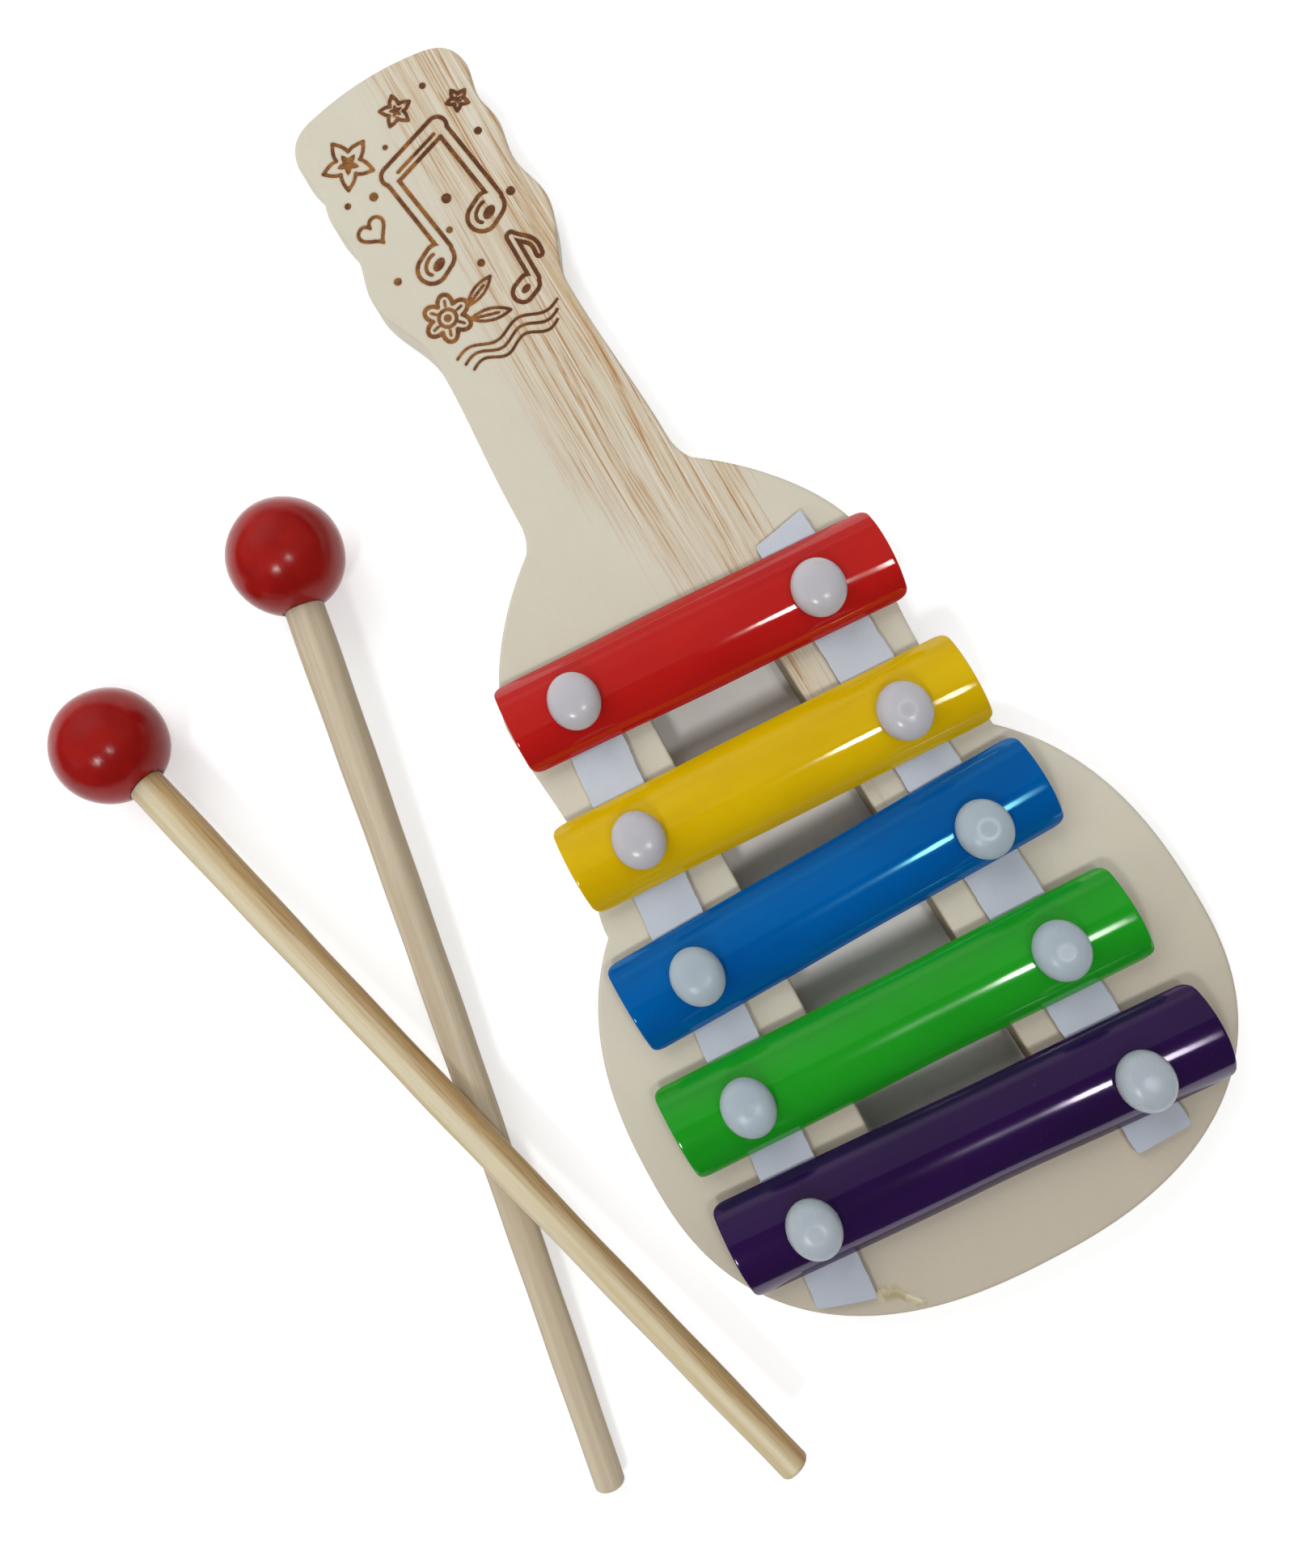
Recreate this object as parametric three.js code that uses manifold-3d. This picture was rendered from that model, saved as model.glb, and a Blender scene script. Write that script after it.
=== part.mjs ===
// Toy xylophone: a wooden board in the outline of a small guitar, with five arched metal bars held
// by plastic pins over two foam strips, and a pair of wooden mallets lying crossed beside it.
// Millimetres, +Z up, +Y towards the head of the guitar, +X to the side away from the mallets.
// The origin is on the board's underside, on its centreline, between the slot and the neck.
import * as THREE from 'three';
import { mergeVertices } from 'three/addons/utils/BufferGeometryUtils.js';
import Module from 'manifold-3d';

const wasm = await Module();
wasm.setup();

// Board
const boardLength = 222.5;
const boardThickness = 8;
const bodyHalfWidth = 47.75;
const edgeBevel = 0.7;

// Slot under the bars
const slotHalfWidthTop = 11.1;
const slotHalfWidthBottom = 13.9;
const slotCornerRadius = 3;

// Foam strips
const foamWidth = 9.4;
const foamThickness = 1.6;

// Bars
const barLengthRed = 65.2;
const barLengthYellow = 68.2;
const barLengthBlue = 72.3;
const barLengthGreen = 77.6;
const barLengthPurple = 79.8;
const barWidth = 15.4;
const barRise = 4.5;
const barThickness = 1;
const barCornerRadius = 2;

// Pins
const pinHeadDiameter = 8.9;
const pinHeadHeight = 3.1;
const pinRimHeight = 0.8;
const pinShankDiameter = 3.2;
const pinFloor = 1.5;

// Mallets
const ballDiameter = 20;
const stickReachLower = 162;
const stickReachUpper = 159;
const stickHeadDiameter = 6.6;
const stickTailDiameter = 5.1;
const stickTailCrown = 0.9;
const stickSeatDepth = 13;

// Clearances
const seatGap = 0.3;
const barPlay = 0.9;
const barLift = 0.7;
const cutOverrun = 2;

// Where the origin lies, as a share of the board's length from its bottom end
const originShare = 0.54;

// The lower bout is a superellipse; its heights are shares of the board's length
const boutPower = 2.4;
const boutWidestShare = 0.174;
const boutClosingShare = 0.39;
const waistCornerShare = 0.34;

// The rest of the outline: [share of the length, share of the half-width]
const waistShares = [0.4085, 0.6565];
const upperBoutShares = [0.508, 0.6835];
const shoulderShares = [[0.53, 0.684], [0.579, 0.555], [0.616, 0.3275]];
const neckHollowShares = [0.6235, 0.3];
const neckRootShares = [0.6365, 0.2935];
const neckTopShares = [0.777, 0.266];
const headSwingShares = [
  [0.846, 0.358],
  [0.884, 0.325],
  [0.9165, 0.345],
  [0.94, 0.327],
  [0.967, 0.349],
];
const headCornerShares = [[0.9905, 0.342], [0.995, 0.228]];
const headCrownShares = [1, 0.11];

// The slot's ends, as shares of the board's length
const slotBottomShare = 0.098;
const slotTopShare = 0.486;

// The bars are set down by hand and so lie a little askew. centreShares are [share of the
// half-width, share of the board's length]. pinShares are, for the left pin and then the right,
// [share of the bar's length from its middle, share of its width off its centreline].
const bars = [
  {
    colour: 'red',
    paint: 0xb01a1a,
    length: barLengthRed,
    tilt: -4.1,
    centreShares: [0.022, 0.493],
    pinShares: [[-0.33, -0.02], [0.309, -0.065]],
  },
  {
    colour: 'yellow',
    paint: 0xd2aa14,
    length: barLengthYellow,
    tilt: -2.8,
    centreShares: [0.01, 0.386],
    pinShares: [[-0.335, -0.005], [0.327, -0.035]],
  },
  {
    colour: 'blue',
    paint: 0x0059a0,
    length: barLengthBlue,
    tilt: 0.9,
    centreShares: [-0.012, 0.2905],
    pinShares: [[-0.336, 0], [0.338, -0.14]],
  },
  {
    colour: 'green',
    paint: 0x26961f,
    length: barLengthGreen,
    tilt: -1.6,
    centreShares: [-0.039, 0.191],
    pinShares: [[-0.3365, 0], [0.3395, 0]],
  },
  {
    colour: 'purple',
    paint: 0x301452,
    length: barLengthPurple,
    tilt: -2.5,
    centreShares: [-0.028, 0.0988],
    pinShares: [[-0.338, -0.025], [0.3345, -0.09]],
  },
];

// The foam strips run along the pins. For the bottom end and then the top: how far a strip runs
// past its last pin, as a share of the board's length, and, as shares of its own width, how far it
// lies to the right of that pin and how much higher its right corner is cut than its left.
const foamStrips = [
  {
    side: 'left',
    row: 0,
    beyondShares: [0.064, 0.024],
    shiftShares: [-0.02, 0.01],
    skewShares: [-0.2, 0],
  },
  {
    side: 'right',
    row: 1,
    beyondShares: [0.0485, 0.055],
    shiftShares: [-0.12, 0.065],
    skewShares: [0, 0.13],
  },
];

// The mallets. ballShares are [share of the half-width, share of the board's length] for the ball's
// middle, and turn is how far the stick points from straight down the board, towards +X, in degrees.
const lowerMallet = {
  name: 'lower',
  reach: stickReachLower,
  ballShares: [-1.058, 0.7054],
  turn: -10.05,
};
const upperMallet = {
  name: 'upper',
  reach: stickReachUpper,
  ballShares: [-1.936, 0.6494],
  turn: 16,
};

// Smoothness of curves, as counts of steps
const boutSteps = 12;
const swingSteps = 4;
const curveSteps = 6;
const archSteps = 12;
const pinSteps = 24;
const cutterSteps = 16;
const domeSteps = 6;
const ballRings = 16;
const ballSteps = 28;
const stickSteps = 16;

const radians = THREE.MathUtils.degToRad;
const lerp = THREE.MathUtils.lerp;

// Heights that the pieces share, worked out upwards from the table
const foamTop = boardThickness + foamThickness;
const barBottom = foamTop + seatGap;
const barTop = barBottom + barRise;
const headBottom = barTop + barLift;
const shankRadius = pinShankDiameter / 2;
const ballRadius = ballDiameter / 2;

// Turns a geometry into a closed solid that can be cut and joined.
function solidOf(geometry) {
  const bare = geometry.clone();
  bare.deleteAttribute('normal');
  bare.deleteAttribute('uv');
  const merged = mergeVertices(bare, 1e-4);
  return new wasm.Manifold(new wasm.Mesh({
    numProp: 3,
    vertProperties: new Float32Array(merged.attributes.position.array),
    triVerts: new Uint32Array(merged.index.array),
  }));
}

// Turns a solid back into a geometry.
function geometryOf(solid) {
  const mesh = solid.getMesh();
  const geometry = new THREE.BufferGeometry();
  geometry.setAttribute('position', new THREE.BufferAttribute(mesh.vertProperties, 3));
  geometry.setIndex(new THREE.BufferAttribute(mesh.triVerts, 1));
  geometry.computeVertexNormals();
  return geometry;
}

function namedMesh(name, geometry, colour, roughness, metalness) {
  const finish = new THREE.MeshStandardMaterial({ color: colour, roughness, metalness });
  const mesh = new THREE.Mesh(geometry, finish);
  mesh.name = name;
  return mesh;
}

// An upright round cutter between two heights.
function uprightCutter(place, low, high, radius) {
  const geometry = new THREE.CylinderGeometry(radius, radius, high - low, cutterSteps);
  geometry.rotateX(Math.PI / 2);
  geometry.translate(place.x, place.y, (low + high) / 2);
  return solidOf(geometry);
}

// A place on the right half of the board, from its share of the length and of the half-width.
function boardPoint([heightShare, widthShare]) {
  return new THREE.Vector2(bodyHalfWidth * widthShare, boardLength * heightShare);
}

// Points after the first from one place to another, the half-width following half a cosine wave.
function swing(from, to) {
  const points = [];
  for (let i = 1; i <= swingSteps; i += 1) {
    const t = i / swingSteps;
    const ease = (1 - Math.cos(Math.PI * t)) / 2;
    points.push(new THREE.Vector2(lerp(from.x, to.x, ease), lerp(from.y, to.y, t)));
  }
  return points;
}

// Half-width of the lower bout at a height: a superellipse, longer above its widest place.
function boutHalfWidth(height) {
  const widest = boardLength * boutWidestShare;
  const reach = height < widest ? widest : boardLength * boutClosingShare - widest;
  const part = Math.abs(height - widest) / reach;
  return bodyHalfWidth * (1 - part ** boutPower) ** (1 / boutPower);
}

// Right half of the outline, from the middle of the bottom end to the middle of the head's top.
function halfOutline() {
  const widest = boardLength * boutWidestShare;
  const corner = boardLength * waistCornerShare;
  const points = [new THREE.Vector2(0, 0)];
  for (let i = 1; i <= boutSteps; i += 1) {
    const fall = Math.cos((Math.PI / 2) * (i / boutSteps)) ** (2 / boutPower);
    const height = widest * (1 - fall);
    points.push(new THREE.Vector2(boutHalfWidth(height), height));
  }
  for (let i = 1; i <= curveSteps; i += 1) {
    const height = lerp(widest, corner, i / curveSteps);
    points.push(new THREE.Vector2(boutHalfWidth(height), height));
  }
  const waist = boardPoint(waistShares);
  const upperBout = boardPoint(upperBoutShares);
  points.push(...swing(points.at(-1), waist), ...swing(waist, upperBout));

  const [lift, lean, foot] = shoulderShares.map(boardPoint);
  const neckRoot = boardPoint(neckRootShares);
  const shoulder = new THREE.CubicBezierCurve(upperBout, lift, lean, foot);
  const hollow = new THREE.QuadraticBezierCurve(foot, boardPoint(neckHollowShares), neckRoot);
  points.push(...shoulder.getPoints(curveSteps).slice(1), ...hollow.getPoints(swingSteps).slice(1));

  let last = neckRoot;
  for (const place of [neckTopShares, ...headSwingShares].map(boardPoint)) {
    points.push(...swing(last, place));
    last = place;
  }
  const [cornerPull, crownStart] = headCornerShares.map(boardPoint);
  const top = new THREE.Vector2(0, boardLength);
  const corners = new THREE.QuadraticBezierCurve(last, cornerPull, crownStart);
  const crown = new THREE.QuadraticBezierCurve(crownStart, boardPoint(headCrownShares), top);
  points.push(...corners.getPoints(curveSteps).slice(1), ...crown.getPoints(swingSteps).slice(1));
  return points;
}

// An outline with straight sides and every corner rounded by the same radius.
function roundedOutline(path, corners, radius) {
  corners.forEach((corner, i) => {
    const before = corners[(i + corners.length - 1) % corners.length];
    const after = corners[(i + 1) % corners.length];
    const enter = before.clone().sub(corner).setLength(radius).add(corner);
    const leave = after.clone().sub(corner).setLength(radius).add(corner);
    if (i === 0) path.moveTo(enter.x, enter.y);
    else path.lineTo(enter.x, enter.y);
    path.quadraticCurveTo(corner.x, corner.y, leave.x, leave.y);
  });
  path.closePath();
  return path;
}

// The slot: an opening that widens towards the bottom end.
function slotPath() {
  const low = boardLength * slotBottomShare;
  const high = boardLength * slotTopShare;
  const corners = [
    new THREE.Vector2(-slotHalfWidthBottom, low),
    new THREE.Vector2(slotHalfWidthBottom, low),
    new THREE.Vector2(slotHalfWidthTop, high),
    new THREE.Vector2(-slotHalfWidthTop, high),
  ];
  return roundedOutline(new THREE.Path(), corners, slotCornerRadius);
}

// Places of a bar's two pins in the bar's own frame, whose middle is the bar's.
function pinOffsets(bar) {
  return bar.pinShares.map(([along, across]) => (
    new THREE.Vector2(bar.length * along, barWidth * across)
  ));
}

// A bar's middle in the board's frame.
function barCentre(bar) {
  const [widthShare, heightShare] = bar.centreShares;
  return new THREE.Vector2(bodyHalfWidth * widthShare, boardLength * heightShare);
}

// Places of a bar's two pins in the board's frame.
function pinPlaces(bar) {
  const origin = new THREE.Vector2();
  return pinOffsets(bar).map((offset) => (
    offset.rotateAround(origin, radians(bar.tilt)).add(barCentre(bar))
  ));
}

// Board: the extruded outline with bevelled edges and the slot, drilled for the pins.
function makeBoard() {
  const half = halfOutline();
  const mirrored = half.slice(1, -1).reverse().map((point) => new THREE.Vector2(-point.x, point.y));
  const shape = new THREE.Shape([...half, ...mirrored]);
  shape.holes.push(slotPath());
  const geometry = new THREE.ExtrudeGeometry(shape, {
    depth: boardThickness - 2 * edgeBevel,
    bevelThickness: edgeBevel,
    bevelSize: edgeBevel,
    bevelOffset: -edgeBevel,
    bevelSegments: 1,
    curveSegments: swingSteps,
  });
  geometry.translate(0, 0, edgeBevel);
  let board = solidOf(geometry);
  const mouth = boardThickness + cutOverrun;
  for (const place of bars.flatMap(pinPlaces)) {
    board = board.subtract(uprightCutter(place, pinFloor, mouth, shankRadius + seatGap));
  }
  return namedMesh('board', geometryOf(board), 0xd8cdb0, 0.6, 0);
}

// Foam strip: a flat tape under one row of pins, its ends cut by hand.
function makeFoamStrip(strip) {
  const pins = bars.map((bar) => pinPlaces(bar)[strip.row]);
  const ends = [pins.at(-1), pins[0]];
  const [shiftLow, shiftHigh] = strip.shiftShares.map((share) => foamWidth * share);
  ends[0].x += shiftLow;
  ends[1].x += shiftHigh;
  const along = ends[1].clone().sub(ends[0]).normalize();
  const side = new THREE.Vector2(along.y, -along.x);
  const corner = (end, sign) => {
    const outward = end === 0 ? -1 : 1;
    const reach = outward * boardLength * strip.beyondShares[end];
    const skew = (sign / 2) * foamWidth * strip.skewShares[end];
    return ends[end].clone()
      .addScaledVector(along, reach + skew)
      .addScaledVector(side, sign * (foamWidth / 2));
  };
  const shape = new THREE.Shape([corner(0, -1), corner(0, 1), corner(1, 1), corner(1, -1)]);
  const geometry = new THREE.ExtrudeGeometry(shape, { depth: foamThickness, bevelEnabled: false });
  geometry.translate(0, 0, boardThickness);
  let foam = solidOf(geometry);
  const low = boardThickness - cutOverrun;
  const high = foamTop + cutOverrun;
  for (const bar of bars) {
    const place = pinPlaces(bar)[strip.row];
    foam = foam.subtract(uprightCutter(place, low, high, shankRadius + seatGap));
  }
  return namedMesh(`foam_strip_${strip.side}`, geometryOf(foam), 0xdfe4ea, 0.85, 0);
}

// Bar: an arched strip of sheet metal, its corners rounded in plan, with a hole for each pin.
function makeBar(bar) {
  const half = barWidth / 2;
  const outer = (half * half + barRise * barRise) / (2 * barRise);
  const inner = outer - barThickness;
  const middle = barTop - outer;
  const outerSpread = Math.asin(half / outer);
  const innerSpread = Math.acos((barBottom - middle) / inner);
  const arc = (radius, spread) => Array.from({ length: archSteps + 1 }, (_, i) => {
    const angle = lerp(-spread, spread, i / archSteps);
    return new THREE.Vector2(radius * Math.sin(angle), middle + radius * Math.cos(angle));
  });
  const band = new THREE.Shape([...arc(outer, outerSpread), ...arc(inner, innerSpread).reverse()]);

  // The band's outline is drawn in the bar's cross-section and turned to run along the bar's X.
  const arch = new THREE.ExtrudeGeometry(band, { depth: bar.length, bevelEnabled: false });
  arch.translate(0, 0, -bar.length / 2);
  arch.rotateX(Math.PI / 2);
  arch.rotateZ(Math.PI / 2);

  const end = bar.length / 2;
  const corners = [[-end, -half], [end, -half], [end, half], [-end, half]]
    .map((corner) => new THREE.Vector2(...corner));
  const plan = roundedOutline(new THREE.Shape(), corners, barCornerRadius);
  const low = barBottom - cutOverrun;
  const high = barTop + cutOverrun;
  const trim = new THREE.ExtrudeGeometry(plan, {
    depth: high - low,
    bevelEnabled: false,
    curveSegments: swingSteps,
  });
  trim.translate(0, 0, low);
  let solid = solidOf(arch).intersect(solidOf(trim));

  // Each hole is centred on the bar as far as the pin's play allows.
  const slack = barPlay - seatGap;
  for (const offset of pinOffsets(bar)) {
    const across = offset.y - THREE.MathUtils.clamp(offset.y, -slack, slack);
    const place = new THREE.Vector2(offset.x, across);
    solid = solid.subtract(uprightCutter(place, low, high, shankRadius + barPlay));
  }
  const mesh = namedMesh(`bar_${bar.colour}`, geometryOf(solid), bar.paint, 0.25, 0.1);
  const centre = barCentre(bar);
  mesh.position.set(centre.x, centre.y, 0);
  mesh.rotation.z = radians(bar.tilt);
  return mesh;
}

// Points of a dome's profile, from its rim to its top.
function domeProfile(radius, base, height) {
  const points = [];
  for (let i = 0; i < domeSteps; i += 1) {
    const angle = (Math.PI / 2) * (i / domeSteps);
    points.push(new THREE.Vector2(radius * Math.cos(angle), base + height * Math.sin(angle)));
  }
  points.push(new THREE.Vector2(0, base + height));
  return points;
}

// Pin: a turned profile, the domed head on its shank.
function makePin(name, place) {
  const headRadius = pinHeadDiameter / 2;
  const profile = [
    new THREE.Vector2(0, pinFloor + seatGap),
    new THREE.Vector2(shankRadius, pinFloor + seatGap),
    new THREE.Vector2(shankRadius, headBottom),
    new THREE.Vector2(headRadius - pinRimHeight / 2, headBottom),
    ...domeProfile(headRadius, headBottom + pinRimHeight, pinHeadHeight - pinRimHeight),
  ];
  const geometry = new THREE.LatheGeometry(profile, pinSteps);
  geometry.rotateX(Math.PI / 2);
  const mesh = namedMesh(name, geometry, 0xdcdee0, 0.35, 0);
  mesh.position.set(place.x, place.y, 0);
  return mesh;
}

// The middle of a mallet's ball in plan.
function ballPlace({ ballShares: [widthShare, heightShare] }) {
  return boardPoint([heightShare, widthShare]);
}

// Mallet: a ball bored for its stick. The stick runs from the ball's middle down the board, turned
// in plan, and slopes by rise, in millimetres of height for each millimetre of its plan length.
function makeMallet(mallet, rise) {
  const { name, reach, turn } = mallet;
  const start = ballRadius - stickSeatDepth;
  const profile = [
    new THREE.Vector2(0, start),
    new THREE.Vector2(stickHeadDiameter / 2, start),
    ...domeProfile(stickTailDiameter / 2, reach - stickTailCrown, stickTailCrown),
  ];
  const stick = new THREE.LatheGeometry(profile, stickSteps);
  const place = ballPlace(mallet);
  const pose = new THREE.Matrix4()
    .makeTranslation(place.x, place.y, ballRadius)
    .multiply(new THREE.Matrix4().makeRotationZ(radians(turn)))
    .multiply(new THREE.Matrix4().makeRotationX(Math.PI - Math.atan(rise)));
  stick.applyMatrix4(pose);

  const boreRadius = stickHeadDiameter / 2 + seatGap;
  const boreLength = stickSeatDepth + seatGap + cutOverrun;
  const bore = new THREE.CylinderGeometry(boreRadius, boreRadius, boreLength, cutterSteps);
  bore.translate(0, start - seatGap + boreLength / 2, 0);
  bore.applyMatrix4(pose);
  const ball = new THREE.SphereGeometry(ballRadius, ballSteps, ballRings);
  ball.rotateX(Math.PI / 2);
  ball.translate(place.x, place.y, ballRadius);
  const bored = solidOf(ball).subtract(solidOf(bore));

  return [
    namedMesh(`mallet_${name}_stick`, stick, 0xd9c79a, 0.55, 0),
    namedMesh(`mallet_${name}_ball`, geometryOf(bored), 0xa81c1c, 0.3, 0),
  ];
}

// Slopes of the two mallets. The lower one rests its ball and the edge of its tail on the table. The
// upper one rests its ball on the table and its stick on the other stick, where the two cross.
function malletRises() {
  const way = ({ turn }) => new THREE.Vector2(Math.sin(radians(turn)), -Math.cos(radians(turn)));
  const lowerWay = way(lowerMallet);
  const upperWay = way(upperMallet);
  const apart = ballPlace(upperMallet).sub(ballPlace(lowerMallet));
  const lowerCrossing = apart.cross(upperWay) / lowerWay.cross(upperWay);
  const upperCrossing = apart.cross(lowerWay) / lowerWay.cross(upperWay);
  const start = ballRadius - stickSeatDepth;
  const radiusAt = ({ reach }, along) => (
    lerp(stickHeadDiameter, stickTailDiameter, (along - start) / (reach - start)) / 2
  );
  const lower = (stickTailDiameter / 2 - ballRadius) / lowerMallet.reach;
  const radii = radiusAt(lowerMallet, lowerCrossing) + radiusAt(upperMallet, upperCrossing);
  return { lower, upper: (lower * lowerCrossing + radii + seatGap) / upperCrossing };
}

const xylophone = new THREE.Group();
const placed = new THREE.Group();
placed.position.y = -boardLength * originShare;
xylophone.add(placed);

placed.add(makeBoard());
for (const strip of foamStrips) placed.add(makeFoamStrip(strip));
for (const bar of bars) {
  placed.add(makeBar(bar));
  const [left, right] = pinPlaces(bar);
  placed.add(makePin(`pin_${bar.colour}_left`, left));
  placed.add(makePin(`pin_${bar.colour}_right`, right));
}
const rises = malletRises();
placed.add(...makeMallet(lowerMallet, rises.lower));
placed.add(...makeMallet(upperMallet, rises.upper));

export default xylophone;
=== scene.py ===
"""Toy xylophone: the dressed model, its finishes, the lamps and the camera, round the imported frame.

Lengths are in millimetres in the frame's own axes (+Y towards the head, +Z up) until a mesh is made.
"""

import math

import bpy
import numpy as np
from mathutils import Matrix, Vector
from mathutils.geometry import delaunay_2d_cdt


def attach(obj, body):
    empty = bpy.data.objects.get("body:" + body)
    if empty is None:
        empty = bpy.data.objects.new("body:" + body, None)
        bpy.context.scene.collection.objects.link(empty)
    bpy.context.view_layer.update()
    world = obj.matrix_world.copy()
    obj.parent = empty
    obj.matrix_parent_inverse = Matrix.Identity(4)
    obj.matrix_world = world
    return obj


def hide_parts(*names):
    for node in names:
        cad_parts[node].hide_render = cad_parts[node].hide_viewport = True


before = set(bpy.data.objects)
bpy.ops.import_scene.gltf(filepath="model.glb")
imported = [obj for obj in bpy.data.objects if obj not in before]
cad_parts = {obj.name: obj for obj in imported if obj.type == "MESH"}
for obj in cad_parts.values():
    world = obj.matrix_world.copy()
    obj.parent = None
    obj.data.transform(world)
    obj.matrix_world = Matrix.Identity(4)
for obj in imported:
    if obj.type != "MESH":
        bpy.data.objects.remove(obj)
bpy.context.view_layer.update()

METRES = 0.001
WHITE = (1.0, 1.0, 1.0, 1.0)

# Board, as in the part
BOARD_LENGTH = 222.5
BOARD_THICKNESS = 8.0
BODY_HALF_WIDTH = 47.75
ORIGIN_SHARE = 0.54
BOUT_POWER = 2.4
BOUT_WIDEST_SHARE = 0.174
BOUT_CLOSING_SHARE = 0.39
WAIST_CORNER_SHARE = 0.34
WAIST = (0.4085, 0.6565)
UPPER_BOUT = (0.508, 0.6835)
SHOULDER = ((0.53, 0.684), (0.579, 0.555), (0.616, 0.3275))
NECK_HOLLOW = (0.6235, 0.3)
NECK_ROOT = (0.6365, 0.2935)
NECK_TOP = (0.777, 0.266)
HEAD_SWINGS = ((0.846, 0.358), (0.884, 0.325), (0.9165, 0.345), (0.94, 0.327), (0.967, 0.349))
HEAD_CORNER = ((0.9905, 0.342), (0.995, 0.228))
HEAD_CROWN = (1.0, 0.11)
SLOT_HALF_TOP = 11.1
SLOT_HALF_BOTTOM = 13.9
SLOT_SHARES = (0.098, 0.486)
SLOT_CORNER = 3.0
EDGE_ROUNDING = 0.55

# Foam strips
FOAM_WIDTH = 9.4
FOAM_THICKNESS = 1.6
FOAM_ROUNDING = 0.2
FOAM_CORNER = 0.75
FOAM_SWELL = 0.06

# Bars and pins
BAR_WIDTH = 15.4
BAR_RISE = 4.5
BAR_THICKNESS = 1.0
BAR_CORNER = 2.3
BAR_ROUNDING = 0.28
BAR_SPREAD = 0.15
BAR_END_ZONE = 6.0
PIN_HEAD = (4.22, 4.71)
PIN_UNDERSIDE = 14.87
PIN_WIDEST = 15.15
PIN_APEX = 18.2
PIN_DOME_POWER = 2.5
PIN_SHANK = 1.6
PIN_FLOOR = 1.5
PIN_FILLET = 0.3
PIN_TIP_BEVEL = 0.4
MOULD_HEIGHT = 0.045
SEAT_GAP = 0.3
BAR_PLAY = 0.9

FOAM_TOP = BOARD_THICKNESS + FOAM_THICKNESS
BAR_BOTTOM = FOAM_TOP + SEAT_GAP
BAR_TOP = BAR_BOTTOM + BAR_RISE

# Mallets
BALL_RADIUS = 10.0
STICK_HEAD = 3.3
STICK_TAIL = 2.55
STICK_CROWN = 0.9
STICK_SEAT = 13.0
BORE_TIGHTER = 0.12
BORE_MOUTH = 0.2

# colour, length, tilt in degrees, middle as (share of half-width, share of length), and for the left
# and the right pin (share of the bar's length from its middle, share of its width off its middle line)
BARS = (
    ("red", 65.2, -4.1, (0.022, 0.493), ((-0.33, -0.02), (0.309, -0.065))),
    ("yellow", 68.2, -2.8, (0.01, 0.386), ((-0.335, -0.005), (0.327, -0.035))),
    ("blue", 72.3, 0.9, (-0.012, 0.2905), ((-0.336, 0.0), (0.338, -0.14))),
    ("green", 77.6, -1.6, (-0.039, 0.191), ((-0.3365, 0.0), (0.3395, 0.0))),
    ("purple", 79.8, -2.5, (-0.028, 0.0988), ((-0.338, -0.025), (0.3345, -0.09))),
)
# where along a bar its middle swells or, below 0, hollows, and by how much
BAR_SWELL_WIDTH = 8.0
BAR_SWELLS = {
    "red": (-2.0, 0.2),
    "yellow": (-1.0, 0.07),
    "blue": (3.0, -0.13),
    "green": (5.0, -0.22),
    "purple": (5.0, -0.22),
}
# how far each end of a bar stands proud of its plain length: at its lower edge, middle and upper
# edge in plan, for the left end and then the right
BAR_ENDS = {
    "red": ((0.1, 0.3, 0.55), (0.4, 0.2, 0.05)),
    "yellow": ((0.3, 0.75, 0.95), (0.85, 0.2, 0.15)),
    "blue": ((0.4, 0.36, 0.7), (0.3, 0.34, 0.6)),
    "green": ((-0.42, -0.33, 0.15), (0.7, 0.28, 0.3)),
    "purple": ((0.05, 0.33, 0.45), (-0.1, 0.6, 0.42)),
}
# side, which pin, and for the bottom and then the top end: reach past the last pin as a share of the
# board's length, shift to the right and skew of the cut as shares of the strip's width
STRIPS = (
    ("left", 0, (0.064, 0.024), (-0.02, 0.01), (-0.2, 0.0)),
    ("right", 1, (0.0485, 0.055), (-0.12, 0.065), (0.0, 0.13)),
)
# name, reach of the stick from the ball's middle, ball's middle, turn in degrees, bow in millimetres
MALLETS = (
    ("lower", 162.0, (-1.058, 0.7054), -10.05, 0.25),
    ("upper", 159.0, (-1.936, 0.6494), 16.0, -0.45),
)
# how much thicker a stick's head is than in the part, and how much its tail's end stays back
STICK_THICKER = {"lower": 1.07, "upper": 1.0}
STICK_SHORTER = 0.15
# radius of the moulding ring on the crown of a pin's head, and how strongly it shows, in its shape and in
# the painted highlight on its ridge and painted shade in its dimple
MOULD_RINGS = {
    "yellow_right": (1.3, 0.5),
    "blue_right": (1.5, 0.65),
    "green_right": (1.2, 0.45),
    "purple_right": (1.3, 0.12),
    "purple_left": (1.4, 0.3),
    "green_left": (1.0, 0.25),
    "yellow_left": (1.3, 0.15),
    "red_left": (1.2, 0.1),
}
# how strongly each bar's pins take the darker, cool grey of the two cloudy whites: painted light for the
# bar's colour through the plastic and the weaker light towards the tail
PIN_PAINTED_TINT = {"red": 0.0, "yellow": 0.05, "blue": 1.0, "green": 0.95, "purple": 0.75}


# Curves


def board_point(place):
    """A place on the board's right half, from (share of the length, share of the half-width)."""
    height, width = place
    return np.array([BODY_HALF_WIDTH * width, BOARD_LENGTH * (height - ORIGIN_SHARE)])


def swing(start, end, steps):
    """Points after start up to end: the height grows evenly and x follows half a cosine wave."""
    t = np.arange(1, steps + 1) / steps
    ease = (1 - np.cos(np.pi * t)) / 2
    x = start[0] + (end[0] - start[0]) * ease
    return np.column_stack([x, start[1] + (end[1] - start[1]) * t])


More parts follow.
